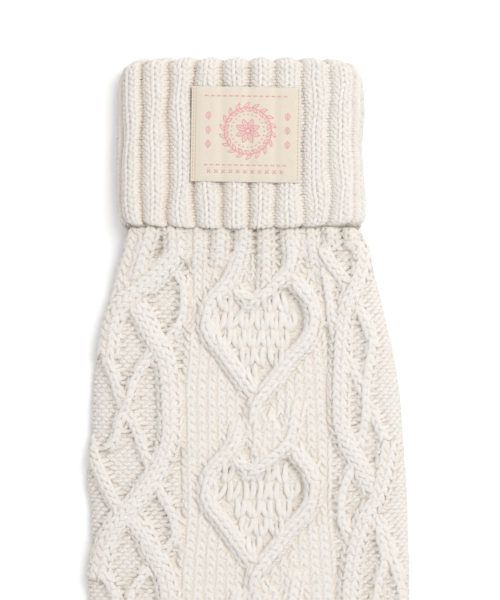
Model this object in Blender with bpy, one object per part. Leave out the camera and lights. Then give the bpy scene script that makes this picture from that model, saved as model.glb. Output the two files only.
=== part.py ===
"""A knitted leg warmer laid flat: cabled tube, turned-down ribbed cuff, ribbed hem and woven label.

Built in metres, +Z up and +Y towards the cuff, resting on z = 0. Sizes are given in millimetres.
`along` is the distance from the cuff's top edge towards the hem. `across` is the distance over the cloth
from the middle line, positive to the right. Heights in the tables are above the plain knitted face.
"""

import math

import bpy
import numpy as np

MM = 0.001

# Driving sizes, in millimetres
LENGTH = 420.0
CUFF_LENGTH = 85.0
HEM_LENGTH = 35.0
WALL = 3.2
SLIT = 2.0
SEAM_GAP = 0.3
BODY_HEIGHT = 2 * WALL + SLIT
SIDE_ROUND_ABOVE = 13.0
SIDE_ROUND_BELOW = 6.0
WIDEST_AT = 0.42

CUFF_WALL = 4.4
RIB_DEPTH = 2.3
RIB_VALLEY_WIDTH = 4.6
CUFF_HEIGHT = 2 * (CUFF_WALL + SEAM_GAP) + BODY_HEIGHT
CUFF_CORNER = 11.0
CUFF_RIBS = 20
CUFF_RIB_SHIFT = 0.3
CUFF_ROUND_GAIN = 10.0
CUFF_BOW = 3.5
TURN_IN = 7.0

HEM_RIBS = 26
HEM_RIB_DEPTH = 1.7

LABEL_WIDTH = 52.0
LABEL_HEIGHT = 46.0
LABEL_THICK = 1.0
LABEL_MIDDLE = -0.7
LABEL_TOP = 15.0
LABEL_SAG = 0.5
LABEL_TILT = 0.017

CABLE_REPEAT = 108.0
HEART_REPEAT = 85.0
LEFT_CROSSING = 121.0
RIGHT_CROSSING = 117.0
FIRST_HEART = 87.5
HEARTS = 4
BRAIDS = 3
PURL_RECESS = 0.9
PANEL_GROOVE = 1.3
RIB_RECESS = 0.8
BUBBLE_LIFT = 1.5
BUBBLE_PITCH = (7.3, 9.4)
BUBBLES_FROM, BUBBLES_TO = 36.0, 80.0

BODY_ROW_STEP = 4.6
BODY_COLUMNS = 56
CUFF_COLUMNS = 73
HEM_COLUMNS = 71

KNIT_CREAM = (0.86, 0.83, 0.79)
LABEL_CREAM = (0.86, 0.78, 0.66)

# The tube's outline, with its top end hidden inside the cuff: along, left edge, right edge
TUBE_EDGES = (
    (7.0, -57.5, 51.5),
    (40.0, -58.5, 52.0),
    (84.0, -58.6, 53.2),
    (89.0, -60.5, 57.5),
    (95.0, -62.0, 60.0),
    (106.0, -65.5, 63.0),
    (126.0, -70.0, 68.0),
    (151.0, -76.5, 73.5),
    (171.0, -78.0, 76.5),
    (198.0, -79.0, 78.5),
    (211.0, -81.0, 79.5),
    (226.0, -78.8, 80.0),
    (243.0, -78.8, 80.5),
    (258.0, -81.0, 81.0),
    (275.0, -79.5, 81.0),
    (310.0, -81.0, 81.0),
    (350.0, -80.0, 80.0),
    (370.0, -77.0, 77.0),
    (386.0, -72.0, 72.0),
)

# The cuff's outline below its rounded corners: along, left edge, right edge
CUFF_EDGES = (
    (0.0, -64.5, 58.0),
    (20.0, -64.5, 58.5),
    (46.0, -65.0, 57.2),
    (66.0, -65.5, 58.5),
    (78.0, -65.0, 59.2),
    (86.0, -64.0, 58.6),
)

# The hem's outline: along, left edge, right edge
HEM_EDGES = ((386.0, -71.5, 71.5), (402.0, -70.5, 70.5), (420.0, -72.0, 72.0))

# The tube's underside, lifted where the cuff's back layer lies under it: along, height
TUBE_LIFT = ((7.0, 4.7), (86.0, 4.7), (100.0, 2.6), (118.0, 0.0), (390.0, 0.0))

# One repeat of the heart panel, measured from the tip above: along, across, height
HEART_STRANDS = {
    "left_lobe": (
        9.5,
        (
            (8.0, -3.0, 0.6),
            (16.0, -5.5, 2.0),
            (23.5, -9.0, 2.7),
            (31.0, -16.0, 2.8),
            (38.0, -21.0, 2.8),
            (44.5, -22.0, 2.8),
            (51.0, -20.0, 2.8),
            (58.5, -14.0, 2.8),
            (68.5, -6.5, 2.8),
            (77.5, 0.0, 2.2),
            (83.0, 4.0, 0.6),
        ),
    ),
    "right_lobe": (
        9.5,
        (
            (22.0, 22.0, 0.6),
            (28.5, 27.5, 2.4),
            (34.5, 32.0, 2.8),
            (42.0, 34.0, 2.8),
            (48.5, 33.0, 2.8),
            (56.0, 28.5, 2.8),
            (63.5, 21.0, 2.9),
            (73.5, 13.5, 3.1),
            (81.0, 7.0, 3.5),
            (88.0, 3.0, 3.2),
            (96.0, 2.5, 1.6),
        ),
    ),
    "cleft": (
        9.0,
        (
            (-1.5, 24.5, 0.6),
            (8.5, 23.0, 1.6),
            (17.0, 21.0, 2.8),
            (22.5, 17.0, 3.4),
            (28.5, 10.0, 3.6),
            (34.5, 3.5, 3.2),
            (39.5, 0.0, 1.0),
        ),
    ),
    "inner_lobe": (
        8.0,
        ((25.0, -9.0, 1.2), (31.0, -3.0, 2.5), (36.5, 3.0, 1.0)),
    ),
}

# The plain tongue between two hearts: along, left edge, right edge, height
TONGUE = (
    (2.0, 0.0, 6.0, 1.6),
    (8.0, -0.5, 16.0, 1.8),
    (14.0, -1.0, 20.0, 1.8),
    (20.0, -0.5, 18.5, 1.8),
    (25.0, 0.5, 13.5, 1.7),
    (29.5, 2.0, 9.0, 1.4),
    (34.0, 4.0, 6.0, 0.4),
)

# One repeat of the left braid, measured from its crossing: width, then along, across, height
LEFT_BRAID = {
    "broad": (
        11.5,
        (
            (-2.0, -61.0, 0.4),
            (6.0, -53.5, 2.0),
            (17.5, -48.0, 2.9),
            (27.5, -42.5, 2.9),
            (40.0, -40.0, 2.9),
            (65.0, -39.0, 2.9),
            (75.0, -41.0, 3.0),
            (86.0, -46.0, 3.2),
            (96.0, -52.5, 3.4),
            (104.0, -59.0, 3.7),
            (112.0, -66.0, 3.4),
            (121.0, -71.0, 2.8),
            (131.0, -74.0, 2.6),
            (140.0, -75.5, 2.4),
        ),
    ),
    "thin": (
        6.5,
        (
            (29.0, -71.0, 2.0),
            (38.0, -67.0, 2.2),
            (50.0, -63.5, 2.0),
            (57.0, -60.0, 1.2),
            (64.0, -57.0, 1.8),
            (78.0, -52.0, 1.8),
            (86.0, -48.5, 0.8),
            (94.0, -44.5, 1.8),
            (102.0, -40.5, 2.2),
            (109.5, -37.0, 2.3),
            (118.0, -36.5, 2.3),
            (125.0, -42.0, 1.6),
            (131.0, -47.0, 0.8),
            (138.0, -53.0, 2.0),
            (147.5, -58.5, 2.3),
            (157.0, -60.5, 2.8),
            (168.0, -65.0, 2.3),
            (175.0, -70.0, 2.0),
            (180.0, -75.0, 1.4),
        ),
    ),
    "outer": (
        7.5,
        (
            (29.0, -76.5, 2.2),
            (50.0, -81.0, 2.0),
            (65.0, -81.5, 2.0),
            (75.0, -78.0, 2.2),
            (85.0, -74.0, 2.4),
            (95.0, -70.0, 2.4),
            (104.0, -65.0, 2.0),
            (109.0, -60.5, 0.6),
        ),
    ),
}

# One repeat of the right braid, measured from its crossing: width, then along, across, height
RIGHT_BRAID = {
    "broad": (
        11.0,
        (
            (-33.0, 70.5, 2.4),
            (-24.0, 69.0, 2.7),
            (-14.0, 67.0, 3.2),
            (-4.0, 63.5, 3.7),
            (4.0, 58.5, 3.7),
            (14.0, 55.0, 3.1),
            (28.0, 52.0, 2.9),
            (45.0, 50.5, 2.9),
            (60.0, 50.0, 2.9),
            (70.0, 51.0, 3.0),
            (81.0, 54.5, 3.2),
            (92.0, 59.5, 2.8),
            (102.0, 64.0, 1.6),
            (107.0, 66.0, 0.6),
        ),
    ),
    "edge": (
        7.0,
        (
            (4.0, 66.5, 0.6),
            (12.0, 68.5, 2.0),
            (24.0, 72.0, 2.2),
            (36.0, 75.5, 2.2),
            (50.0, 77.5, 2.2),
            (62.0, 76.0, 2.2),
            (74.0, 72.5, 2.2),
        ),
    ),
    "thin": (
        6.5,
        (
            (2.0, 63.5, 0.8),
            (14.0, 66.0, 2.0),
            (26.0, 68.0, 2.3),
            (38.0, 65.0, 2.3),
            (52.0, 63.0, 2.3),
            (66.0, 62.0, 2.2),
            (77.0, 59.5, 1.0),
            (86.0, 56.0, 1.4),
            (93.5, 52.5, 2.2),
            (101.0, 49.0, 2.3),
            (109.0, 47.0, 2.3),
            (117.0, 47.5, 2.2),
            (125.0, 50.0, 2.0),
            (132.0, 53.0, 0.8),
        ),
    ),
}

# Strands that come out from under the cuff once: width, then along, across, height
FIRST_STRANDS = {
    "rib_1": (9.5, ((74.0, -24.5, 2.0), (92.0, -25.0, 1.8), (104.0, -25.5, 0.2))),
    "rib_2": (9.5, ((74.0, -13.3, 2.0), (92.0, -13.8, 1.8), (106.0, -15.0, 0.2))),
    "rib_3": (9.0, ((74.0, -2.0, 2.2), (92.0, -2.5, 2.2), (101.0, -4.5, 2.2), (108.0, -7.0, 2.2))),
    "rib_4": (9.0, ((74.0, 9.0, 2.2), (100.0, 9.0, 2.2), (112.0, 8.5, 2.0), (119.0, 7.5, 0.4))),
    "rib_5": (9.0, ((74.0, 20.0, 2.2), (92.0, 20.8, 2.2), (100.0, 21.5, 2.4), (107.0, 20.0, 2.8))),
    "rib_6": (8.5, ((74.0, 30.8, 2.2), (92.0, 31.5, 1.8), (106.0, 33.5, 0.2))),
    "rib_7": (8.5, ((74.0, 40.5, 2.4), (88.0, 40.8, 2.4), (96.0, 41.5, 0.6))),
    "rib_8": (9.0, ((74.0, 51.5, 2.4), (88.0, 52.0, 2.4), (96.0, 53.0, 0.6))),
    "left_slip": (10.0, ((74.0, -52.5, 2.2), (88.0, -55.0, 2.4), (104.0, -58.0, 2.4), (116.0, -60.0, 1.0))),
    "left_over": (
        12.0,
        (
            (74.0, -36.0, 2.2),
            (88.0, -32.0, 2.8),
            (97.0, -31.5, 3.0),
            (104.0, -38.0, 3.2),
            (113.0, -49.0, 3.5),
            (120.0, -59.5, 3.7),
            (129.0, -66.5, 3.2),
            (138.0, -69.5, 2.8),
            (150.0, -71.5, 2.0),
        ),
    ),
    "left_thin": (
        6.5,
        (
            (107.0, -34.5, 0.6),
            (114.0, -32.5, 2.3),
            (122.0, -32.0, 2.3),
            (132.0, -34.0, 2.2),
            (138.0, -38.0, 1.6),
            (143.5, -43.0, 0.8),
            (149.0, -49.0, 2.0),
            (160.0, -57.5, 2.3),
            (170.0, -60.5, 2.8),
            (181.0, -64.0, 2.3),
            (190.0, -66.0, 2.2),
            (197.0, -71.0, 1.6),
        ),
    ),
    "right_under": (8.0, ((95.0, 37.0, 1.6), (102.0, 40.5, 2.4), (110.0, 46.5, 2.4), (117.0, 51.0, 0.6))),
    "right_over": (
        10.5,
        (
            (92.0, 58.8, 1.4),
            (104.0, 57.0, 3.0),
            (112.0, 54.5, 3.6),
            (119.0, 51.0, 3.6),
            (127.0, 48.0, 3.1),
            (138.0, 46.8, 2.9),
            (155.0, 46.0, 2.9),
            (172.0, 45.5, 2.9),
            (182.0, 46.0, 3.0),
            (192.0, 49.0, 3.2),
            (202.0, 54.5, 2.9),
            (213.0, 60.0, 2.2),
            (220.0, 63.0, 0.6),
        ),
    ),
    "right_slip": (
        6.5,
        (
            (104.0, 37.5, 0.4),
            (111.0, 39.0, 2.2),
            (121.0, 40.5, 2.3),
            (133.0, 42.5, 2.2),
            (141.0, 45.5, 0.8),
            (150.0, 50.0, 1.6),
            (160.0, 54.5, 2.0),
            (167.0, 57.5, 1.0),
            (174.0, 61.0, 1.8),
            (181.0, 64.0, 2.2),
            (190.0, 67.5, 2.2),
            (198.0, 70.0, 0.8),
        ),
    ),
    "right_thin": (
        7.0,
        (
            (120.0, 54.0, 0.8),
            (129.0, 57.5, 2.2),
            (137.0, 60.5, 2.4),
            (143.0, 62.0, 2.4),
            (152.0, 60.5, 2.4),
            (165.0, 59.0, 2.4),
            (180.0, 58.5, 2.2),
            (189.0, 57.0, 1.0),
            (198.0, 54.5, 1.4),
            (206.0, 51.5, 2.2),
            (213.0, 48.5, 2.3),
            (221.0, 46.5, 2.3),
            (229.0, 46.8, 2.2),
            (238.0, 49.8, 2.0),
            (245.0, 52.5, 0.8),
        ),
    ),
}

# The middle panel's edges, where it meets the purl ground: along, left, right
PANEL_EDGES = (
    (80.0, -31.0, 36.0),
    (106.0, -31.0, 36.5),
    (136.0, -32.5, 39.5),
    (171.0, -35.0, 42.0),
    (200.0, -34.5, 43.0),
    (222.0, -34.0, 43.0),
    (246.0, -36.0, 44.5),
    (271.0, -38.0, 46.5),
    (310.0, -35.0, 44.0),
    (360.0, -36.0, 45.0),
    (390.0, -34.0, 42.0),
)


def through(rows, column, at):
    """A smooth curve through one column of a table, at the given places along; level past its ends."""
    at = np.asarray(at, float)
    places = np.array([row[0] for row in rows])
    values = np.array([row[column] for row in rows])
    steps = np.diff(places)
    slopes = np.diff(values) / steps
    tangents = np.zeros(len(values))
    before, after = slopes[:-1], slopes[1:]
    turning = before * after <= 0
    total = np.where(turning, 1.0, before + after)
    tangents[1:-1] = np.where(turning, 0.0, 2 * before * after / total)
    tangents[0], tangents[-1] = slopes[0], slopes[-1]
    at = np.clip(at, places[0], places[-1])
    k = np.clip(np.searchsorted(places, at, side="right") - 1, 0, len(steps) - 1)
    t = (at - places[k]) / steps[k]
    rise = values[k] * (1 + 2 * t) * (1 - t) ** 2 + values[k + 1] * t * t * (3 - 2 * t)
    return rise + steps[k] * (tangents[k] * t * (1 - t) ** 2 - tangents[k + 1] * t * t * (1 - t))


def ease(low, high, value):
    """0 below low, 1 above high, smooth between."""
    t = np.clip((value - low) / (high - low), 0.0, 1.0)
    return t * t * (3 - 2 * t)


def strand_height(width, rows, across, along):
    """The height of one rounded strand that follows its rows, and 0 beside it."""
    middle = through(rows, 1, along)
    lean = through(rows, 1, along + 1.0) - through(rows, 1, along - 1.0)
    off_middle = np.abs(across - middle) / np.hypot(1.0, 0.5 * lean) / (0.5 * width)
    inside = (along >= rows[0][0]) & (along <= rows[-1][0]) & (off_middle < 1)
    return np.where(inside, through(rows, 2, along) * (1 - np.minimum(off_middle, 1.0) ** 2.4), 0.0)


def moved(rows, by):
    """The rows of a repeat, further along."""
    return tuple((row[0] + by,) + tuple(row[1:]) for row in rows)


def all_strands():
    """Each strand on the front: width and rows, with the repeats in their places."""
    found = list(FIRST_STRANDS.values())
    for number in range(HEARTS):
        start = FIRST_HEART + number * HEART_REPEAT
        found += [(width, moved(rows, start)) for width, rows in HEART_STRANDS.values()]
    for number in range(BRAIDS):
        start = LEFT_CROSSING + number * CABLE_REPEAT
        found += [(width, moved(rows, start)) for width, rows in LEFT_BRAID.values()]
    for number in range(1, BRAIDS):
        start = RIGHT_CROSSING + number * CABLE_REPEAT
        found += [(width, moved(rows, start)) for width, rows in RIGHT_BRAID.values()]
    return found


def tongue_height(across, along):
    """The flat-topped tongue that runs from one heart's tip into the next heart's cleft."""
    height = np.zeros(np.broadcast(across, along).shape)
    for number in range(1, HEARTS):
        here = along - FIRST_HEART - number * HEART_REPEAT
        left, right = through(TONGUE, 1, here), through(TONGUE, 2, here)
        middle, half = 0.5 * (left + right), 0.5 * (right - left)
        off_middle = np.minimum(np.abs(across - middle) / half, 1.0)
        inside = (here >= TONGUE[0][0]) & (here <= TONGUE[-1][0])
        height = np.maximum(height, np.where(inside, through(TONGUE, 3, here) * (1 - off_middle**4), 0.0))
    return height


def bubble_height(across, along):
    """The bubbles knitted inside each heart, in rows that step sideways by half a pitch."""
    left_lobe, right_lobe = HEART_STRANDS["left_lobe"][1], HEART_STRANDS["right_lobe"][1]
    height = np.zeros(np.broadcast(across, along).shape)
    for number in range(HEARTS):
        here = along - FIRST_HEART - number * HEART_REPEAT
        row = np.floor(here / BUBBLE_PITCH[1])
        down = (here / BUBBLE_PITCH[1] - row) - 0.5
        side = across / BUBBLE_PITCH[0] + 0.5 * np.mod(row, 2)
        side = side - np.floor(side) - 0.5
        bubble = BUBBLE_LIFT * np.clip(1 - 4 * (side**2 + down**2), 0.0, 1.0)
        inside = (here > BUBBLES_FROM) & (here < BUBBLES_TO)
        inside &= (across > through(left_lobe, 1, here)) & (across < through(right_lobe, 1, here))
        height = np.maximum(height, np.where(inside, bubble, 0.0))
    return height


STRANDS = all_strands()


def front_height(across, along):
    """How far the cabled face stands above (or, between strands, lies below) the plain knitted face."""
    left, right = through(PANEL_EDGES, 1, along), through(PANEL_EDGES, 2, along)
    purl = np.maximum(ease(0, 3, left - across), ease(0, 3, across - right))
    groove = np.maximum(1 - np.abs(across - left) / 2.5, 1 - np.abs(across - right) / 2.5)
    ground = -PURL_RECESS * purl * ease(88, 100, along) - PANEL_GROOVE * np.clip(groove, 0, 1)
    raised = np.maximum(tongue_height(across, along), bubble_height(across, along))
    for width, rows in STRANDS:
        raised = np.maximum(raised, strand_height(width, rows, across, along))
    ground = ground - RIB_RECESS * (1 - ease(95, 110, along))
    height = np.where(raised > 0.05, np.maximum(raised, ground), ground)
    return height * ease(2, 14, LENGTH - HEM_LENGTH - along)


def section(left, right, low, high, shares, shrink=0.0):
    """One flattened loop of cloth, from under its middle round by the left side and over the front.

    Gives x, z, the outward normal and the distance over the cloth from x = 0, at the given shares of
    the loop. shrink is how far the loop lies inside the piece's outer face.
    """
    left, right, low, high = left + shrink, right - shrink, low + shrink, high - shrink
    widest = low + WIDEST_AT * (high - low)
    upper = (max(min(SIDE_ROUND_ABOVE, 1.5 * (high - low)) - shrink, 1.0), high - widest)
    lower = (max(min(SIDE_ROUND_BELOW, 0.7 * (high - low)) - 0.5 * shrink, 0.8), widest - low)
    turn = np.linspace(0, 0.5 * math.pi, 24)
    middle = 0.5 * (left + right)
    x = [np.array([middle]), left + lower[0] * (1 - np.sin(turn)), left + upper[0] * (1 - np.cos(turn[1:]))]
    z = [np.array([low]), widest - lower[1] * np.cos(turn), widest + upper[1] * np.sin(turn[1:])]
    x += [right - upper[0] * (1 - np.cos(turn[::-1])), right - lower[0] * (1 - np.sin(turn[-2::-1]))]
    z += [widest + upper[1] * np.sin(turn[::-1]), widest - lower[1] * np.cos(turn[-2::-1])]
    x, z = np.concatenate(x + [np.array([middle])]), np.concatenate(z + [np.array([low])])
    gone = np.concatenate([[0.0], np.cumsum(np.hypot(np.diff(x), np.diff(z)))])
    at = np.asarray(shares) * gone[-1]
    along_x = np.interp(at + 0.05, gone, x) - np.interp(at - 0.05, gone, x)
    along_z = np.interp(at + 0.05, gone, z) - np.interp(at - 0.05, gone, z)
    size = np.hypot(along_x, along_z)
    front = np.argmax(z >= high - 1e-9)
    across = at - gone[front] + x[front]
    return np.interp(at, gone, x), np.interp(at, gone, z), -along_z / size, along_x / size, across


def shares_round(columns):
    """Places round a loop: many over the sides and the front, few on the flat underside."""
    dense = np.linspace(0.262, 0.738, columns)
    return np.concatenate([[0.0, 0.1, 0.2, 0.235, 0.25], dense, [0.75, 0.765, 0.8, 0.9]])


def ring_solid(name, rings, colour, roughness):
    """Joins rings of points, each to the next and the last to the first, into one closed solid.

    Each four-sided face is split along its more level diagonal, so that ridges stay whole.
    """
    count, size = len(rings), len(rings[0])
    points = np.concatenate(rings) * MM
    faces = []
    for i in range(count):
        for j in range(size):
            a, b = i * size + j, i * size + (j + 1) % size
            c, d = (i + 1) % count * size + (j + 1) % size, (i + 1) % count * size + j
            if abs(points[a][2] - points[c][2]) <= abs(points[b][2] - points[d][2]):
                faces += [(a, b, c), (a, c, d)]
            else:
                faces += [(a, b, d), (b, c, d)]
    return add_solid(name, points, faces, colour, roughness)


def add_solid(name, points, faces, colour, roughness):
    """One named object with its own material."""
    mesh = bpy.data.meshes.new(name)
    mesh.from_pydata([tuple(point) for point in points], [], faces)
    mesh.update()
    material = bpy.data.materials.new(name)
    material.use_nodes = True
    shader = material.node_tree.nodes["Principled BSDF"]
    shader.inputs["Base Color"].default_value = (*colour, 1.0)
    shader.inputs["Roughness"].default_value = roughness
    mesh.materials.append(material)
    made = bpy.data.objects.new(name, mesh)
    bpy.context.scene.collection.objects.link(made)
    return made


def placed(x, along, z):
    """Points of one ring: the cuff's top edge lies at +Y and the hem at -Y."""
    return np.stack([x, 0.5 * LENGTH - along + 0 * x, z], axis=1)


def tube_section(along, shares, shrink=0.0):
    """A loop of the tube at one place along."""
    low = float(through(TUBE_LIFT, 1, along))
    left, right = float(through(TUBE_EDGES, 1, along)), float(through(TUBE_EDGES, 2, along))
    return section(left, right, low, low + BODY_HEIGHT, shares, shrink)


def build_tube():
    """The cabled tube, open at both ends, with its top end inside the turned-down cuff."""
    shares = shares_round(BODY_COLUMNS)
    seam = LENGTH - HEM_LENGTH
    hidden = [TURN_IN + SEAM_GAP, 30.0, 55.0, 72.0]
    shown = np.linspace(78.0, seam, int((seam - 78.0) / BODY_ROW_STEP) + 1)
    rows = np.concatenate([hidden, shown])
    outer, inner = [], []
    for along in rows:
        x, z, out_x, out_z, across = tube_section(along, shares)
        rise = front_height(across, along) * ease(0.15, 0.75, out_z)
        rise = rise * ease(CUFF_LENGTH + 1, CUFF_LENGTH + 8, along)
        outer.append(placed(x + rise * out_x, along, z + rise * out_z))
        x, z, _, _, _ = tube_section(along, shares, WALL)
        inner.append(placed(x, along, z))
    return ring_solid("cabled_tube", outer[::-1] + inner, KNIT_CREAM, 0.95)


def cuff_edges(along):
    """The cuff's left and right edges, with its top corners rounded."""
    into = CUFF_CORNER - np.clip(along, 0.0, CUFF_CORNER)
    corner = CUFF_CORNER - math.sqrt(max(CUFF_CORNER**2 - into**2, 0.0))
    left, right = float(through(CUFF_EDGES, 1, along)), float(through(CUFF_EDGES, 2, along))
    return left + corner, right - corner


def rib_valley(across, pitch, width):
    """1 in the middle of each valley between two ribs and 0 on the ribs."""
    off_valley = np.abs(across / pitch - np.round(across / pitch)) * pitch
    return 1 - ease(0.0, 0.5 * width + 1.2, off_valley)


def cuff_ring(along, depth, shares, ribbed):
    """A loop of the cuff at one place along, depth inside its outer face."""
    left, right = cuff_edges(along)
    x, z, out_x, out_z, across = section(left, right, 0.0, CUFF_HEIGHT, shares, depth)
    pitch = 2 * (right - left + CUFF_ROUND_GAIN) / CUFF_RIBS
    valley = rib_valley(across - CUFF_RIB_SHIFT, pitch, RIB_VALLEY_WIDTH)
    shown = ease(-0.6, 0.1, out_z)
    cut = RIB_DEPTH * valley * shown * ribbed
    bow = CUFF_BOW * ((x + 3.0) / 62.0) ** 2 * shown + 0.9 * valley * shown * ribbed
    lowered = along - bow * ease(40.0, CUFF_LENGTH, along)
    return placed(x - cut * out_x, lowered, z - cut * out_z)


def build_cuff():
    """The ribbed cuff: an outer layer, a fold at the top and a short turn-in that meets the tube."""
    shares = shares_round(CUFF_COLUMNS)
    turn_depth = CUFF_WALL + SEAM_GAP + WALL
    radius = 0.5 * turn_depth
    rings = [cuff_ring(CUFF_LENGTH, 0.5 * CUFF_WALL + 1.2, shares, 0.4)]
    rings.append(cuff_ring(CUFF_LENGTH, 1.3, shares, 0.8))
    for along in (CUFF_LENGTH - 2.0, 66.0, 46.0, 26.0, 12.0):
        rings.append(cuff_ring(along, 0.0, shares, 1.0))
    for angle in np.linspace(0.0, math.pi, 7):
        along = radius * (1 - math.sin(angle))
        ribbed = 1.0 - 0.9 * angle / math.pi
        rings.append(cuff_ring(along, radius * (1 - math.cos(angle)), shares, ribbed))
    rings.append(cuff_ring(TURN_IN, turn_depth, shares, 0.0))
    rings.append(cuff_ring(TURN_IN, CUFF_WALL + SEAM_GAP, shares, 0.0))
    rings.append(cuff_ring(TURN_IN - 1.5, CUFF_WALL + 0.5 * SEAM_GAP, shares, 0.0))
    rings.append(cuff_ring(TURN_IN, CUFF_WALL, shares, 0.0))
    rings.append(cuff_ring(46.0, CUFF_WALL, shares, 0.0))
    rings.append(cuff_ring(CUFF_LENGTH - 0.6, CUFF_WALL, shares, 0.0))
    return ring_solid("turned_cuff", rings, KNIT_CREAM, 0.95)


def hem_ring(along, depth, shares, ribbed):
    """A loop of the ribbed hem at one place along, depth inside its outer face."""
    left, right = float(through(HEM_EDGES, 1, along)), float(through(HEM_EDGES, 2, along))
    x, z, out_x, out_z, across = section(left, right, 0.0, BODY_HEIGHT + HEM_RIB_DEPTH, shares, depth)
    pitch = 2 * (right - left + 4.0) / HEM_RIBS
    valley = rib_valley(across, pitch, RIB_VALLEY_WIDTH)
    cut = HEM_RIB_DEPTH * valley * ease(-0.4, 0.2, out_z) * ribbed
    return placed(x - cut * out_x, along, z - cut * out_z)


def build_hem():
    """The ribbed band at the lower end, an open tube like the part above it."""
    shares = shares_round(HEM_COLUMNS)
    start = LENGTH - HEM_LENGTH + SEAM_GAP
    wall = WALL + 0.5 * HEM_RIB_DEPTH
    places = (start, 396.0, 408.0, LENGTH - 1.5)
    rings = [hem_ring(along, 0.0, shares, 1.0) for along in places]
    rings.append(hem_ring(LENGTH, 1.2, shares, 0.7))
    rings.append(hem_ring(LENGTH, wall, shares, 0.0))
    rings += [hem_ring(along, wall, shares, 0.0) for along in (408.0, start)]
    return ring_solid("ribbed_hem", rings[::-1], KNIT_CREAM, 0.95)


def build_label():
    """The woven label: lies on the cuff's ribs, lifted off their points, and sags a little between them."""
    columns = np.linspace(-0.5 * LABEL_WIDTH, 0.5 * LABEL_WIDTH, 27)
    rows = np.linspace(0.0, LABEL_HEIGHT, 7)
    left, right = cuff_edges(LABEL_TOP + 0.5 * LABEL_HEIGHT)
    pitch = 2 * (right - left + CUFF_ROUND_GAIN) / CUFF_RIBS
    points = []
    for lift in (SEAM_GAP, SEAM_GAP + LABEL_THICK):
        for down in rows:
            x = LABEL_MIDDLE + columns - LABEL_TILT * (down - 0.5 * LABEL_HEIGHT)
            along = LABEL_TOP + down + LABEL_TILT * columns
            sag = LABEL_SAG * rib_valley(x - CUFF_RIB_SHIFT, pitch, RIB_VALLEY_WIDTH)
            points.append(placed(x, along, CUFF_HEIGHT + lift - sag))
    points = np.concatenate(points) * MM
    wide, layer = len(columns), len(columns) * len(rows)
    faces = []
    for i in range(len(rows) - 1):
        for j in range(wide - 1):
            a = i * wide + j
            faces += [(a, a + 1, a + 1 + wide, a + wide)]
            faces += [(a + layer, a + wide + layer, a + 1 + wide + layer, a + 1 + layer)]
    rim = list(range(wide)) + [i * wide + wide - 1 for i in range(1, len(rows))]
    rim += [layer - 1 - j for j in range(1, wide)] + [i * wide for i in range(len(rows) - 2, 0, -1)]
    for k, a in enumerate(rim):
        b = rim[(k + 1) % len(rim)]
        faces.append((a, a + layer, b + layer, b))
    return add_solid("woven_label", points, faces, LABEL_CREAM, 0.6)


def clear_scene():
    for old in list(bpy.data.objects):
        bpy.data.objects.remove(old, do_unlink=True)


clear_scene()
build_tube()
build_cuff()
build_hem()
build_label()
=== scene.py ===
import math

import bmesh
import bpy
import numpy as np
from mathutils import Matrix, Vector


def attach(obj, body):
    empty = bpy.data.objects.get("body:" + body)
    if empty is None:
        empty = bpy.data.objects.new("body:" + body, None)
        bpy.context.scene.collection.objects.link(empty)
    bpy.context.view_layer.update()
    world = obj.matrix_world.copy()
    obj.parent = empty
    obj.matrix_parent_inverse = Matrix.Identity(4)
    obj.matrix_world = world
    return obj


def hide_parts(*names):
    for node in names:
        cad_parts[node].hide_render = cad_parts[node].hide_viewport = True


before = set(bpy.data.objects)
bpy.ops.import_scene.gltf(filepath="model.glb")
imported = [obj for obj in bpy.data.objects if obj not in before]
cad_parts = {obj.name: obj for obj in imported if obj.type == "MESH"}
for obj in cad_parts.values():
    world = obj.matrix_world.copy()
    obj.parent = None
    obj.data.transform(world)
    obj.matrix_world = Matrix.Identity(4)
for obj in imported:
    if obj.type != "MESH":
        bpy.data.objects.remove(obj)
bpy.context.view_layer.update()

# A cream cable-knit leg warmer laid flat. Lengths here are millimetres until meshes are made.
# along: distance from the cuff's top edge towards the hem. across: distance over the cloth from the
# middle line, positive to the right.
mm = 0.001

garment = {
    "length": 420,           # with the cuff turned down
    "cuffLength": 86,
    "hemLength": 35,
    "wall": 3.2,             # the cloth's thickness, stitches and all
    "bodyHeight": 8.4,       # the flattened tube's
    "cuffHeight": 17.8,
    "hemHeight": 10.1,
    "seamGap": 0.3,
    "sideRoundAbove": 13,    # how far the rounding of a side reaches in, over its widest place
    "sideRoundBelow": 6,
    "widestAt": 0.42,        # of the height
}

# outlines: along, left edge, right edge
tubeEdges = (
    (7, -57.5, 51.5), (40, -58.5, 52), (84, -58.6, 53.2), (89, -60.5, 57.5),
    (95, -62, 60), (106, -65.5, 63), (126, -70, 68), (151, -76.5, 73.5),
    (171, -78, 76.5), (198, -79, 78.5), (211, -81, 79.5), (226, -78.8, 80),
    (243, -78.8, 80.5), (258, -81, 81), (275, -79.5, 81), (310, -81, 81),
    (350, -80, 80), (370, -77, 77), (386, -72, 72),
)
cuffEdgeRows = (
    (0, -65.4, 58), (20, -65.4, 58.5), (46, -65.9, 57.2),
    (66, -66.2, 58.5), (78, -65.7, 59.2), (86, -64.6, 58.6),
)
hemEdges = ((386, -71.5, 71.5), (402, -70.5, 70.5), (420, -72, 72))

# the tube's underside, lifted over the cuff's back layer: along, height
tubeLift = ((7, 4.7), (84, 4.7), (90, 3.5), (98, 2.1), (114, 0), (390, 0))

# where the middle panel meets the purl ground: along, left, right
panelEdges = (
    (80, -31, 36), (106, -31, 36.5), (136, -32.5, 39.5), (171, -35, 42),
    (200, -34.5, 43), (222, -34, 43), (246, -36, 44.5), (271, -38, 46.5),
    (310, -35, 44), (360, -36, 45), (390, -34, 42),
)

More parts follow.
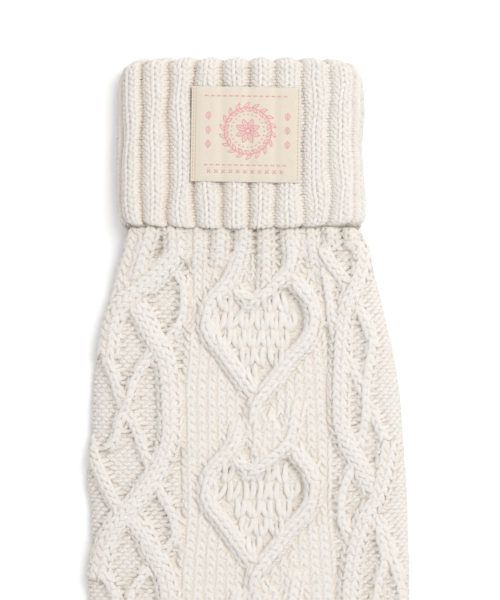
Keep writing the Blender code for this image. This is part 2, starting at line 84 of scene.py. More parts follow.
cables = {
    "cableRepeat": 108,
    "heartRepeat": 85,
    "leftCrossing": 121,    # the first full braid on each side
    "rightCrossing": 117,
    "firstHeart": 87.5,
    "hearts": 4,
    "braids": 3,
    "plumpness": 1.16,      # widens every strand but the ribs
    "edgeSteepness": 2.6,   # higher makes a strand boxier
    "ditchDepth": 0.5,      # the crevice beside a strand
    "ditchWidth": 2.2,
    "purlRecess": (0.8, 0.35),    # at the left and the right
    "leftGroove": (1.5, 2.4),     # depth and half width of the crevice along the panel's edge
    "rightGroove": (0.8, 1.7),
    "ribRecess": 1.35,      # of the ground between the ribs under the cuff
    "hollowDepth": 2.0,     # the hollow inside a heart's right lobe
    "hollowInset": 8.0,
    "hollowWidth": 3.6,
    "hollowFrom": (24, 33),    # below the heart's start, over which it deepens
    "hollowTo": (47, 60),
}

# strands: width, wales, rows of (along, across, height). Heart rows start at the tip above.
heartStrands = {
    "leftLobe": (9.5, 2, (
        (8, -3, 0.6), (16, -5.5, 2), (23.5, -9, 2.7), (31, -15.4, 2.8), (38, -20.1, 2.8),
        (44.5, -21.1, 2.8), (51, -19.2, 2.8), (58.5, -13.4, 2.8), (68.5, -6.2, 2.8), (77.5, 0, 2.2),
        (83, 4, 0.6))),
    "rightLobe": (9.5, 2, (
        (21, 21, 1.8), (28.5, 27, 2.6), (34.5, 31.2, 2.8), (42, 33.1, 2.8), (48.5, 32.1, 2.8),
        (56, 27.8, 2.8), (63.5, 20.4, 2.9), (73.5, 13.2, 3.1), (81, 7, 3.5), (88, 3, 3.2),
        (96, 2.5, 1.6))),
    "cleft": (9, 2, (
        (-1.5, 24.5, 0.6), (8.5, 23, 1.6), (17, 21, 2.8), (22.5, 17, 3.4), (28.5, 10, 3.6),
        (34.5, 3.5, 3.2), (39.5, 0, 1))),
    "innerLobe": (8, 2, ((25, -9, 1.2), (31, -3, 2.5), (36.5, 3, 1))),
}

# the plain tongue between two hearts: along, left, right, height
tongueRows = (
    (2, 0, 6, 1.6), (8, -0.5, 16, 1.8), (14, -1, 20, 1.8), (20, -0.5, 18.5, 1.8),
    (25, 0.5, 13.5, 1.7), (29.5, 2, 9, 1.4), (34, 4, 6, 0.4),
)

leftBraid = {
    "broad": (11.5, 3, (
        (-3, -62, 2), (6, -53.5, 2.6), (17.5, -48, 2.9), (27.5, -42.5, 2.9), (40, -40, 2.9),
        (65, -39, 2.9), (75, -41, 3), (86, -46, 3.2), (96, -52.5, 3.4), (104, -59, 3.7),
        (112, -66, 3.4), (121, -71, 2.8), (131, -74, 2.6), (140, -75.5, 2.4))),
    "thin": (6.5, 2, (
        (29, -71, 2), (38, -67, 2.2), (50, -63.5, 2), (57, -59.2, 1.2), (64, -56, 1.8),
        (78, -51, 1.8), (86, -47.5, 0.8), (94, -44.5, 1.8), (102, -40.5, 2.2), (109.5, -37, 2.3),
        (118, -36.5, 2.3), (125, -42, 1.6), (131, -47, 0.8), (138, -53, 2), (147.5, -58.5, 2.3),
        (157, -60.5, 2.8), (168, -65, 2.3), (175, -70, 2), (180, -75, 1.4))),
    "outer": (7.5, 2, (
        (68, -82.5, 0.4), (75, -79, 2), (85, -74.5, 2.4),
        (95, -70, 2.4), (104, -65, 2.2), (110, -60, 1.6))),
}

rightBraid = {
    "broad": (11, 3, (
        (-33, 70.5, 2.4), (-24, 69, 2.7), (-14, 67, 3.2), (-4, 63.5, 3.7), (4, 58.5, 3.7),
        (14, 55, 3.1), (28, 52, 2.9), (45, 50.5, 2.9), (60, 50, 2.9), (70, 51, 3),
        (81, 54.5, 3.2), (92, 59.5, 2.8), (102, 64, 2.2), (109, 66.5, 1.6))),
    "edge": (7, 2, (
        (4, 66.5, 0.6), (12, 68.5, 2), (24, 72, 2.2), (36, 75.5, 2.2), (50, 77.5, 2.2),
        (62, 76, 2.2), (74, 72.5, 2.2))),
    "thin": (6.5, 2, (
        (1, 63, 1.8), (14, 66, 2.2), (26, 68, 2.3), (38, 65, 2.3), (52, 63, 2.3),
        (66, 62, 2.2), (77, 59.5, 1), (86, 56, 1.4), (93.5, 52.5, 2.2), (101, 49, 2.3),
        (109, 47, 2.3), (117, 47.5, 2.2), (125, 50, 2), (132, 53, 0.8))),
}

# strands that come out from under the cuff once
firstStrands = {
    "rib1": (10.6, 2, ((74, -24.5, 2), (92, -25, 1.8), (104, -25.5, 0.2))),
    "rib2": (10.4, 2, ((74, -13.3, 2), (92, -13.8, 1.8), (106, -15, 0.2))),
    "rib3": (10, 2, ((74, -2, 2.2), (92, -2.5, 2.2), (101, -4.5, 2.2), (108, -7, 2.2))),
    "rib4": (10, 2, ((74, 9, 2.2), (100, 9, 2.2), (112, 8.5, 2), (119, 7.5, 0.4))),
    "rib5": (10, 2, ((74, 20, 2.2), (92, 20.8, 2.2), (100, 21.5, 2.4), (107, 20, 2.8))),
    "rib6": (9.6, 2, ((74, 30.8, 2.2), (92, 31.5, 1.8), (106, 33.5, 0.2))),
    "rib7": (9.4, 2, ((74, 40.5, 2.4), (88, 40.8, 2.4), (96, 41.5, 0.6))),
    "rib8": (10, 2, ((74, 51.5, 2.4), (88, 52, 2.4), (96, 53, 0.6))),
    "leftEdge": (7.4, 2, (
        (74, -57, 2), (88, -57.8, 2.2), (98, -60.2, 2.2), (108, -63.5, 2.2), (116, -66, 1.6),
        (122, -68, 0.6))),
    "leftSlip": (9.4, 2, (
        (74, -47.8, 2.2), (86, -48.6, 2.4), (95, -51.2, 2.4), (104, -54, 2.2), (112, -56, 1.6),
        (118, -58, 0.6))),
    "leftOver": (12, 3, (
        (74, -37, 2.2), (88, -36, 2.8), (96.5, -35.8, 3), (103.5, -40.5, 3.2), (110, -47.5, 3.4),
        (116, -55, 3.6), (121, -62, 3.6), (129, -67.5, 3.2), (138, -70, 2.8), (150, -71.5, 2))),
    "leftThin": (6.5, 2, (
        (107, -34.5, 0.6), (114, -32.5, 2.3), (122, -32, 2.3), (132, -34, 2.2), (138, -38, 1.6),
        (143.5, -43, 0.8), (149, -49, 2), (160, -56.5, 2.3), (170, -59.4, 2.8), (181, -64, 2.3),
        (190, -66, 2.2), (197, -71, 1.6))),
    "rightUnder": (8, 2, ((95, 37, 1.6), (102, 40.5, 2.4), (110, 46.5, 2.4), (117, 51, 0.6))),
    "rightOver": (10.5, 3, (
        (92, 58.8, 1.4), (104, 57, 3), (112, 54.5, 3.6), (119, 51, 3.6), (127, 48, 3.1),
        (138, 46.8, 2.9), (155, 46, 2.9), (172, 45.5, 2.9), (182, 46, 3), (192, 49, 3.2),
        (202, 54.5, 2.9), (213, 60, 2.4), (222, 64, 1.8))),
    "rightSlip": (6.5, 2, (
        (104, 37.5, 0.4), (111, 39, 2.2), (121, 40.5, 2.3), (133, 42.5, 2.2), (141, 45.5, 0.8),
        (150, 50, 1.6), (160, 54.5, 2), (167, 57.5, 1), (174, 61, 1.8), (181, 64, 2.2),
        (190, 67.5, 2.2), (198, 70, 0.8))),
    "rightThin": (7, 2, (
        (120, 54, 0.8), (129, 57.5, 2.2), (137, 60.5, 2.4), (143, 62, 2.4), (152, 60.5, 2.4),
        (165, 59, 2.4), (180, 58.5, 2.2), (189, 57, 1), (198, 54.5, 1.4), (206, 51.5, 2.2),
        (213, 48.5, 2.3), (221, 46.5, 2.3), (229, 46.8, 2.2), (238, 49.8, 2), (245, 52.5, 0.8))),
}


def through(rows, column, at):
    # a smooth curve through one column of a table, level past its ends
    at = np.asarray(at, float)
    places = np.array([row[0] for row in rows])
    values = np.array([row[column] for row in rows])
    steps = np.diff(places)
    slopes = np.diff(values) / steps
    tangents = np.zeros(len(values))
    before, after = slopes[:-1], slopes[1:]
    turning = before * after <= 0
    total = np.where(turning, 1.0, before + after)
    tangents[1:-1] = np.where(turning, 0.0, 2 * before * after / total)
    tangents[0], tangents[-1] = slopes[0], slopes[-1]
    at = np.clip(at, places[0], places[-1])
    k = np.clip(np.searchsorted(places, at, side="right") - 1, 0, len(steps) - 1)
    t = (at - places[k]) / steps[k]
    rise = values[k] * (1 + 2 * t) * (1 - t) ** 2 + values[k + 1] * t * t * (3 - 2 * t)
    return rise + steps[k] * (tangents[k] * t * (1 - t) ** 2 - tangents[k + 1] * t * t * (1 - t))


def ease(low, high, value):
    t = np.clip((value - low) / (high - low), 0.0, 1.0)
    return t * t * (3 - 2 * t)


def moved(rows, by):
    return tuple((row[0] + by, *row[1:]) for row in rows)


def edgesAt(rows, along):
    return through(rows, 1, along), through(rows, 2, along)


def heartStart(number):
    return cables["firstHeart"] + number * cables["heartRepeat"]


def heartLobes(here):
    # the middle lines of a heart's left and right side, a distance below its start
    return [through(heartStrands[side][2], 1, here) for side in ("leftLobe", "rightLobe")]


def unit(vectors):
    return vectors / np.maximum(np.linalg.norm(vectors, axis=-1, keepdims=True), 1e-9)


def loopOf(edges, low, high, shrink=0.0):
    # the flattened outline of the cloth as x, z and the way gone round it, from under its middle
    # by the left side over the front, with the way gone where the front crosses x = 0
    left, right, low, high = edges[0] + shrink, edges[1] - shrink, low + shrink, high - shrink
    widest = low + garment["widestAt"] * (high - low)
    upper = (max(min(garment["sideRoundAbove"], 1.5 * (high - low)) - shrink, 1.0), high - widest)
    lower = (max(min(garment["sideRoundBelow"], 0.7 * (high - low)) - 0.5 * shrink, 0.8), widest - low)
    turn = np.linspace(0, 0.5 * math.pi, 24)
    middle = 0.5 * (left + right)
    x = [np.array([middle]), left + lower[0] * (1 - np.sin(turn))]
    x += [left + upper[0] * (1 - np.cos(turn[1:]))]
    z = [np.array([low]), widest - lower[1] * np.cos(turn), widest + upper[1] * np.sin(turn[1:])]
    x += [right - upper[0] * (1 - np.cos(turn[::-1])), right - lower[0] * (1 - np.sin(turn[-2::-1]))]
    z += [widest + upper[1] * np.sin(turn[::-1]), widest - lower[1] * np.cos(turn[-2::-1])]
    x, z = np.concatenate(x + [np.array([middle])]), np.concatenate(z + [np.array([low])])
    gone = np.concatenate([[0.0], np.cumsum(np.hypot(np.diff(x), np.diff(z)))])
    front = np.argmax(z >= high - 1e-9)
    return x, z, gone, gone[front] - x[front]


def onLoop(loop, across):
    # x, z and the outward normal at distances across from x = 0
    x, z, gone, zero = loop
    at = np.mod(zero + np.asarray(across, float), gone[-1])
    ahead, behind = np.mod(at + 0.3, gone[-1]), np.mod(at - 0.3, gone[-1])
    dx = np.interp(ahead, gone, x) - np.interp(behind, gone, x)
    dz = np.interp(ahead, gone, z) - np.interp(behind, gone, z)
    size = np.maximum(np.hypot(dx, dz), 1e-9)
    return np.interp(at, gone, x), np.interp(at, gone, z), -dz / size, dx / size


def placed(x, along, z):
    # the cuff's top edge lies at +Y and the hem at -Y
    x, along, z = np.broadcast_arrays(x, along, z)
    return np.stack([x, 0.5 * garment["length"] - along, z], axis=-1)


def makeCloth(points, u, v):
    # a grid of points over the cloth, u across and v along, with its outward normals
    byU, byV = np.gradient(points, u, axis=1), np.gradient(points, v, axis=0)
    normals = unit(np.cross(byV, byU))
    return {"points": points, "normals": normals, "u": u, "v": v}


def sample(cloth, values, u, v):
    # values between the grid's points
    stepU, stepV = cloth["u"][1] - cloth["u"][0], cloth["v"][1] - cloth["v"][0]
    a = np.clip((v - cloth["v"][0]) / stepV, 0, len(cloth["v"]) - 1.001)
    b = np.clip((u - cloth["u"][0]) / stepU, 0, len(cloth["u"]) - 1.001)
    i, j = a.astype(int), b.astype(int)
    s, t = a - i, b - j
    if values.ndim == 3:
        s, t = s[..., None], t[..., None]
    top = values[i, j] * (1 - t) + values[i, j + 1] * t
    return top * (1 - s) + (values[i + 1, j] * (1 - t) + values[i + 1, j + 1] * t) * s


def blurred(field, size):
    # a box blur of 2 * size + 1 cells each way
    count = 2 * size + 1
    for axis in (0, 1):
        width = [(0, 0), (0, 0)]
        width[axis] = (size + 1, size)
        total = np.moveaxis(np.cumsum(np.pad(field, width, mode="edge"), axis=axis), axis, 0)
        field = np.moveaxis((total[count:] - total[:-count]) / count, 0, axis)
    return field


def inScene(made):
    bpy.context.scene.collection.objects.link(made)
    return made


def meshObject(name, points, faces, material, values=None, turned=False):
    # faces: an array of quads, or (quads, triangles). values: point attributes by name.
    # turned: make every face look outward
    groups = [np.asarray(group) for group in (faces if isinstance(faces, tuple) else (faces,))]
    groups = [group for group in groups if len(group)]
    mesh = bpy.data.meshes.new(name)
    mesh.vertices.add(len(points))
    mesh.vertices.foreach_set("co", (np.asarray(points) * mm).astype(np.float32).ravel())
    corners = np.concatenate([group.ravel() for group in groups]).astype(np.int32)
    sizes = np.concatenate([np.full(len(group), group.shape[1]) for group in groups])
    mesh.loops.add(len(corners))
    mesh.loops.foreach_set("vertex_index", corners)
    mesh.polygons.add(len(sizes))
    mesh.polygons.foreach_set("loop_start", (np.cumsum(sizes) - sizes).astype(np.int32))
    mesh.update(calc_edges=True)
    mesh.validate()
    if turned:
        edited = bmesh.new()
        edited.from_mesh(mesh)
        bmesh.ops.recalc_face_normals(edited, faces=edited.faces)
        edited.to_mesh(mesh)
        edited.free()
    mesh.shade_smooth()
    for key, value in (values or {}).items():
        value = np.asarray(value, np.float32)
        if value.ndim == 1:
            mesh.attributes.new(key, "FLOAT", "POINT").data.foreach_set("value", value)
        else:
            mesh.attributes.new(key, "FLOAT_VECTOR", "POINT").data.foreach_set("vector", value.ravel())
    mesh.materials.append(material)
    return inScene(bpy.data.objects.new(name, mesh))


def ringFaces(rings, size, closed=True):
    # quads that join each ring of points to the next, and the last to the first where closed
    i, j = np.meshgrid(np.arange(rings if closed else rings - 1), np.arange(size), indexing="ij")
    nextI, nextJ = (i + 1) % rings, (j + 1) % size
    corners = (i * size + j, i * size + nextJ, nextI * size + nextJ, nextI * size + j)
    return np.stack(corners, -1).reshape(-1, 4)


# Yarn: every stitch leg is a short bent length of yarn, thick in its middle

stitchYarn = {
    "rings": 5,
    "sides": 7,
    "endThickness": 0.50,    # of the middle's
    "flatness": 0.72,        # height against width
    "topDip": 0.50,          # how far the upper end sinks under the next stitch, in radii
    "pointDip": 0.20,
    "jitter": 0.07,
    "fallingSlant": 1.18,    # the legs that lean like a backslash against the mean
    "risingSlant": 0.75,
    "fallingFatness": 1.05,
    "underShade": 0.42,      # painted shade on a leg's hidden underside
}


def leaning(lean, slant, length, radius, even=False):
    # across, along and radius of a leg: one leg of each stitch lies steeper than the other
    more = stitchYarn["fallingSlant"] if lean > 0 else stitchYarn["risingSlant"]
    more = 1.0 if even else more
    fat = stitchYarn["fallingFatness"] if lean > 0 else 2 - stitchYarn["fallingFatness"]
    return lean * length * math.sin(slant * more), length * math.cos(slant * more), radius * fat


def yarnBatch(cloth, u, v, du, dv, radius, seed, sink=0.62, bow=0.10, dips=None, rings=None):
    # stitch legs on the cloth. u, v: middles; du, dv: from the upper end to the lower end
    random = np.random.default_rng(int(seed) + 1000)
    u, v, du, dv, radius = (np.array(a, float) for a in np.broadcast_arrays(u, v, du, dv, radius))
    count = len(u)
    if not count:
        return None
    jitter, unitU, size = stitchYarn["jitter"], cloth.get("unit", 1.0), np.hypot(du, dv)
    turn = random.normal(0, jitter, count)
    du, dv = du * np.cos(turn) - dv * np.sin(turn), du * np.sin(turn) + dv * np.cos(turn)
    u = u + random.normal(0, jitter, count) * radius / unitU
    v = v + random.normal(0, jitter, count) * radius
    radius = radius * (1 + random.normal(0, 0.6 * jitter, count))
    t = np.linspace(0, 1, rings or stitchYarn["rings"])[None, :]
    # a bend to the outside of the V, and ends that sink into the cloth
    side = np.sign(du)[:, None] * bow * np.sin(math.pi * t) * size[:, None]
    pathU = u[:, None] + ((t - 0.5) * du[:, None] - side * (dv / size)[:, None]) / unitU
    pathV = v[:, None] + (t - 0.5) * dv[:, None] + side * (du / size)[:, None]
    topDip, pointDip = dips or (stitchYarn["topDip"], stitchYarn["pointDip"])
    dip = topDip * np.clip(1 - 2.2 * t, 0, 1) ** 1.5 + pointDip * np.clip(2.6 * t - 1.6, 0, 1) ** 1.5
    normals = unit(sample(cloth, cloth["normals"], pathU, pathV))
    lift = -radius[:, None] * (np.broadcast_to(sink, count)[:, None] + dip)
    lift = lift + random.normal(0, 0.5 * jitter, count)[:, None]
    end = stitchYarn["endThickness"]
    shape = end + (1 - end) * np.sin(math.pi * (0.08 + 0.84 * t)) ** 0.7
    return {
        "centres": sample(cloth, cloth["points"], pathU, pathV) + normals * lift[..., None],
        "normals": normals,
        "radii": radius[:, None] * shape,
        # painted shade from the cloth, with more where a leg's ends sink under the next stitch
        "paintedShade": sample(cloth, cloth["paintedShade"], pathU, pathV) + 0.15 * dip,
        "tone": random.random(count),
    }


def yarnObject(name, batches, sides=stitchYarn["sides"]):
    # one mesh of all the legs, each a closed tapered tube
    batches = [batch for batch in batches if batch]
    centres, normals, radii, paintedShade, tone = (
        np.concatenate([batch[key] for batch in batches])
        for key in ("centres", "normals", "radii", "paintedShade", "tone")
    )
    count, rings = radii.shape
    tangents = unit(np.gradient(centres, axis=1))
    sideways = unit(np.cross(tangents, normals))
    upward = unit(np.cross(sideways, tangents)) * stitchYarn["flatness"]
    angle = np.arange(sides) * 2 * math.pi / sides + math.pi / sides - 0.5 * math.pi
    spread = np.cos(angle)[:, None] * sideways[:, :, None] + np.sin(angle)[:, None] * upward[:, :, None]
    tube = centres[:, :, None] + radii[:, :, None, None] * spread
    ends = np.stack([
        centres[:, 0] - tangents[:, 0] * radii[:, :1] * 0.75,
        centres[:, -1] + tangents[:, -1] * radii[:, -1:] * 0.75], axis=1)
    points = np.concatenate([tube.reshape(count, -1, 3), ends], axis=1)
    points[..., 2] = np.maximum(points[..., 2], 0.0)

    each = rings * sides + 2    # the rings' points, then the two ends
    quads = ringFaces(rings, sides, False)[:, [0, 3, 2, 1]]
    j, k = np.arange(sides), (np.arange(sides) + 1) % sides
    last = (rings - 1) * sides
    caps = np.concatenate([
        np.stack([np.full(sides, each - 2), j, k], -1),
        np.stack([np.full(sides, each - 1), last + k, last + j], -1)])
    start = np.arange(count)[:, None, None] * each
    quads, caps = (quads[None] + start).reshape(-1, 4), (caps[None] + start).reshape(-1, 3)

    def withEnds(ofRings, ofEnds):
        return np.concatenate([ofRings.reshape(count, rings * sides, -1), ofEnds], axis=1)

    # painted shade on each leg's downward side, and more on its two ends
    undersideShade = stitchYarn["underShade"] * (0.5 - 0.5 * np.sin(angle)) ** 1.5
    shadeWeight = withEnds(paintedShade[:, :, None] + undersideShade, (paintedShade[:, [0, -1]] + 0.2)[..., None])
    around = np.arange(sides) / sides * 2 * math.pi * radii[:, :, None]
    along = np.repeat(np.linspace(0, 5, rings), sides) + tone[:, None] * 37
    around = withEnds(around, np.zeros((count, 2, 1)))
    along = withEnds(along, along[:, [0, -1], None])
    own = np.full(around.shape, tone[:, None, None] * 91)    # so that no two legs share a pattern
    values = {
        "paintedShade": np.clip(shadeWeight, 0, 1).ravel(),
        "tone": np.repeat(tone, each),
        "yarn": np.concatenate([around, along, own], -1).reshape(-1, 3),
        "facing": withEnds(np.repeat(normals, sides, axis=1), normals[:, [0, -1]]).reshape(-1, 3),
    }
    made = meshObject(name, points.reshape(-1, 3), (quads, caps), creamYarn, values)
    print("   ", name, "stitch legs:", count, "triangles:", 2 * len(quads) + len(caps))
    return made


# Materials

yarnLook = {
    "cream": (0.748, 0.714, 0.668),
    # warmShade: the colour that the painted shade mixes towards
    "warmShade": (0.76, 0.62, 0.49),
    "paintedShadeStrength": 0.95,
    "toneSpread": 0.06,
    "roughness": 0.95,
    "sheen": 0.20,
    "softness": 0.62,        # how far the shading forgets the single stitch
}


def newMaterial(name):
    material = bpy.data.materials.new(name)
    material.use_nodes = True
    tree = material.node_tree
    return material, tree, tree.nodes["Principled BSDF"]


def node(tree, kind, **settings):
    made = tree.nodes.new(kind)
    for key, value in settings.items():
        if key in made.inputs:
            made.inputs[key].default_value = value
        else:
            setattr(made, key, value)
    return made


def mixColour(tree, factor, first, second):
    # the two mixed are sockets or plain colours
    mix = node(tree, "ShaderNodeMix", data_type="RGBA")
    tree.links.new(factor, mix.inputs[0])
    for socket, value in ((mix.inputs[6], first), (mix.inputs[7], second)):
        if isinstance(value, bpy.types.NodeSocket):
            tree.links.new(value, socket)
        else:
            socket.default_value = (*value, 1.0)
    return mix.outputs[2]


def mathNode(tree, operation, *terms):
    made = node(tree, "ShaderNodeMath", operation=operation)
    for socket, value in zip(made.inputs, terms):
        if isinstance(value, bpy.types.NodeSocket):
            tree.links.new(value, socket)
        else:
            socket.default_value = value
    return made.outputs[0]


def vectorNode(tree, operation, first, second=None):
    # second: a vector's socket, or the number that scales the first
    made = node(tree, "ShaderNodeVectorMath", operation=operation)
    tree.links.new(first, made.inputs[0])
    if isinstance(second, float):
        made.inputs["Scale"].default_value = second
    elif second:
        tree.links.new(second, made.inputs[1])
    return made.outputs[0]


def attributeOf(tree, name, output="Fac"):
    return node(tree, "ShaderNodeAttribute", attribute_name=name).outputs[output]


def placeIn(tree):
    return node(tree, "ShaderNodeTexCoord").outputs["Object"]


def scaledBy(tree, vector, scale):
    made = node(tree, "ShaderNodeMapping", Scale=scale)
    tree.links.new(vector, made.inputs["Vector"])
    return made.outputs[0]


def texture(tree, kind, vector, **settings):
    made = node(tree, kind, **settings)
    tree.links.new(vector, made.inputs["Vector"])
    return made.outputs["Fac"]


def bumpNode(tree, shader, height, strength, distance, normal=None):
    made = node(tree, "ShaderNodeBump", Strength=strength, Distance=distance)
    tree.links.new(height, made.inputs["Height"])
    if normal:
        tree.links.new(normal, made.inputs["Normal"])
    tree.links.new(made.outputs[0], shader.inputs["Normal"])


def woolMaterial(name, look):
    material, tree, shader = newMaterial(name)
    paintedShade, tone = attributeOf(tree, "paintedShade"), attributeOf(tree, "tone")
    yarn = attributeOf(tree, "yarn", "Vector")
    fibres = texture(tree, "ShaderNodeTexNoise", scaledBy(tree, yarn, (3.4, 0.9, 1.0)),
                     Scale=1.0, Detail=4.0, Roughness=0.65)
    cloudy = texture(tree, "ShaderNodeTexNoise", placeIn(tree), Scale=38.0, Detail=3.0)
    # the plies wind round the yarn
    split = node(tree, "ShaderNodeSeparateXYZ")
    tree.links.new(yarn, split.inputs[0])
    lay = mathNode(tree, "MULTIPLY", split.outputs[1], 2.3)
    lay = mathNode(tree, "MULTIPLY_ADD", split.outputs[0], 1.35, lay)
    plies = mathNode(tree, "SINE", mathNode(tree, "MULTIPLY", lay, 1.5))
    # painted shade makes crevices, undersides and the parts under the cuff warmer and darker, and the yarn's
    # tone varies along it and from leg to leg
    shadeWeight = mathNode(tree, "MULTIPLY", mathNode(tree, "POWER", paintedShade, 1.25), look["paintedShadeStrength"])
    colour = mixColour(tree, shadeWeight, look["cream"], look["warmShade"])
    lighter = tuple(min(c * (1 + look["toneSpread"]), 1.0) for c in look["cream"])
    vary = mathNode(tree, "MULTIPLY_ADD", fibres, 0.5, mathNode(tree, "MULTIPLY", tone, 0.35))
    vary = mathNode(tree, "MULTIPLY_ADD", cloudy, 0.3, vary)
    colour = mixColour(tree, mathNode(tree, "MULTIPLY", vary, 0.55), colour, lighter)
    tree.links.new(colour, shader.inputs["Base Color"])
    # fine wool scatters light every way, so its shading leans towards that of the whole cloth
    facing = vectorNode(tree, "SCALE", attributeOf(tree, "facing", "Vector"), look["softness"])
    softened = vectorNode(tree, "ADD", node(tree, "ShaderNodeNewGeometry").outputs["Normal"], facing)
    relief = mathNode(tree, "MULTIPLY_ADD", plies, 0.5, mathNode(tree, "MULTIPLY", fibres, 1.3))
    bumpNode(tree, shader, relief, 0.45, 0.00036, vectorNode(tree, "NORMALIZE", softened))
    shader.inputs["Roughness"].default_value = look["roughness"]
    shader.inputs["Sheen Weight"].default_value = look["sheen"]
    shader.inputs["Sheen Roughness"].default_value = 0.45
    shader.inputs["Specular IOR Level"].default_value = 0.15
    return material


creamYarn = woolMaterial("creamYarn", yarnLook)
# the backing cloth's wool, a little warmer than the yarn as painted shade where it shows between the stitches
shadeYarn = woolMaterial("backingYarn", {**yarnLook, "cream": (0.755, 0.71, 0.655)})

fuzz = {
    "width": 0.06,
    "lengths": (1.8, 5.5),
    "arch": 0.8,             # how far a fibre stands off in its middle
    "curl": 0.35,
    "spread": 0.8,           # radians off the wales' way
    "tubeCount": 5000,
    "cuffCount": 2600,
}


def fuzzObject(name, cloth, count, ranges, seed):
    # loose fibres over the wool: thin bent ribbons of two faces
    random = np.random.default_rng(seed)
    u, v = random.uniform(*ranges[0], count), random.uniform(*ranges[1], count)
    normals = unit(sample(cloth, cloth["normals"], u, v))
    base = sample(cloth, cloth["points"], u, v)
    angle = random.normal(0.5 * math.pi, fuzz["spread"], count)[:, None]
    across = unit(np.cross(np.broadcast_to((0.0, -1.0, 0.0), normals.shape), normals))
    along = unit(np.cross(normals, across))
    way = np.cos(angle) * across + np.sin(angle) * along
    aside = np.cross(normals, way)
    size = random.uniform(*fuzz["lengths"], count)[:, None]
    curl = random.normal(0, fuzz["curl"], count)[:, None]
    arch = np.abs(random.normal(0, fuzz["arch"], count))[:, None]
    lift = random.uniform(-0.1, 0.45, count)[:, None]
    thin = aside * (0.5 * fuzz["width"])
    rows = []
    for t in (-0.5, 0.0, 0.5):
        centre = base + way * size * t + aside * size * curl * (t * t - 0.1)
        centre = centre + normals * (lift + arch * (1 - 4 * t * t))
        rows += [centre - thin, centre + thin]
    points = np.stack(rows, axis=1).reshape(-1, 3)
    points[:, 2] = np.maximum(points[:, 2], 0.1)
    quads = np.array([[0, 1, 3, 2], [2, 3, 5, 4]]) + np.arange(count)[:, None, None] * 6
    values = {
        "paintedShade": np.zeros(count * 6),
        "tone": np.repeat(random.random(count), 6),
        "yarn": points,
        "facing": np.repeat(normals, 6, axis=0),
    }
    return meshObject(name, points, quads.reshape(-1, 4), creamYarn, values)


def wallObject(name, rings, paintedShade):
    # rings of points joined into one closed wall of backing cloth. paintedShade: the painted shade, one for
    # all, or one a ring
    points = np.concatenate(rings)
    points[:, 2] = np.maximum(points[:, 2], 0.3)
    shadeWeight = np.repeat(np.broadcast_to(paintedShade, len(rings)), len(rings[0]))
    values = {"paintedShade": shadeWeight, "tone": np.full(len(points), 0.5), "yarn": points}
    return meshObject(name, points, ringFaces(len(rings), len(rings[0])), shadeYarn, values, True)


def sunkRings(cloth, columns, rows, sink):
    # rings of points a little under a cloth's face
    u, v = np.meshgrid(columns, rows)
    points = sample(cloth, cloth["points"], u, v)
    return list(points - sink * unit(sample(cloth, cloth["normals"], u, v)))


# The cabled tube

tubeGrid = {"halfWidth": 92, "from": 76, "to": 388, "step": 0.5}
tubeU = np.arange(-tubeGrid["halfWidth"], tubeGrid["halfWidth"] + 0.1, tubeGrid["step"])
tubeV = np.arange(tubeGrid["from"], tubeGrid["to"] + 0.1, tubeGrid["step"])
tubeEnd = garment["length"] - garment["hemLength"]


def tubeLoop(along, shrink=0.0):
    low = through(tubeLift, 1, along)
    return loopOf(edgesAt(tubeEdges, along), low, low + garment["bodyHeight"], shrink)


def allStrands():
    # every strand in its place, with its kind
    found = [(kind, *strand) for kind, strand in firstStrands.items()]
    for side, table, numbers, start, repeat in (
        ("", heartStrands, range(cables["hearts"]), cables["firstHeart"], cables["heartRepeat"]),
        ("left", leftBraid, range(cables["braids"]), cables["leftCrossing"], cables["cableRepeat"]),
        ("right", rightBraid, range(1, cables["braids"]), cables["rightCrossing"], cables["cableRepeat"]),
    ):
        for number in numbers:
            for kind, (width, wales, rows) in table.items():
                found.append((side + kind, width, wales, moved(rows, start + number * repeat)))
    return [
        (kind, width if kind.startswith("rib") else width * cables["plumpness"], wales, rows)
        for kind, width, wales, rows in found
    ]


strands = allStrands()
tongueOwner = 900    # in the owner grid, past every strand's number
bubbleArea = {
    "from": 34,
    "to": 82,
    "firstRow": 34.5,
    "rows": 6,
    "middle": 3.1,
    "pitch": (7.3, 9.0),
    "hollowRoom": 6.0,       # kept free in the hollow at the right
    "unevenness": 0.35,
    "turning": 0.13,
}


def raisedForms():
    # the height of the highest strand or tongue, which one it is, and the crevices beside the strands
    raised = np.zeros((len(tubeV), len(tubeU)))
    owner = np.full(raised.shape, -1)
    ditch = np.zeros(raised.shape)

    def lay(inside, rise, number):
        above = rise > raised[inside]
        raised[inside] = np.where(above, rise, raised[inside])
        owner[inside] = np.where(above, number, owner[inside])

    for number, (kind, width, wales, rows) in enumerate(strands):
        inside = (tubeV >= rows[0][0]) & (tubeV <= rows[-1][0])
        at = tubeV[inside]
        lean = 0.5 * (through(rows, 1, at + 1) - through(rows, 1, at - 1))
        aside = np.abs(tubeU - through(rows, 1, at)[:, None]) / np.hypot(1, lean)[:, None]
        off, high = aside / (0.5 * width), through(rows, 2, at)[:, None]
        lay(inside, high * (1 - np.minimum(off, 1) ** cables["edgeSteepness"]), number)
        beside = np.clip(1 - (aside - 0.5 * width) / cables["ditchWidth"], 0, 1) * (off >= 1)
        ditch[inside] = np.maximum(ditch[inside], beside * np.clip(high / 2.0, 0, 1))
    for number in range(1, cables["hearts"]):
        here = tubeV - heartStart(number)
        inside = (here >= tongueRows[0][0]) & (here <= tongueRows[-1][0])
        left, right = (edge[:, None] for edge in edgesAt(tongueRows, here[inside]))
        off = np.abs(tubeU - 0.5 * (left + right)) / (0.5 * (right - left))
        high = through(tongueRows, 3, here[inside])[:, None]
        lay(inside, high * (1 - np.minimum(off, 1) ** 5), tongueOwner)
    return raised, np.where(raised > 0.15, owner, -1), ditch


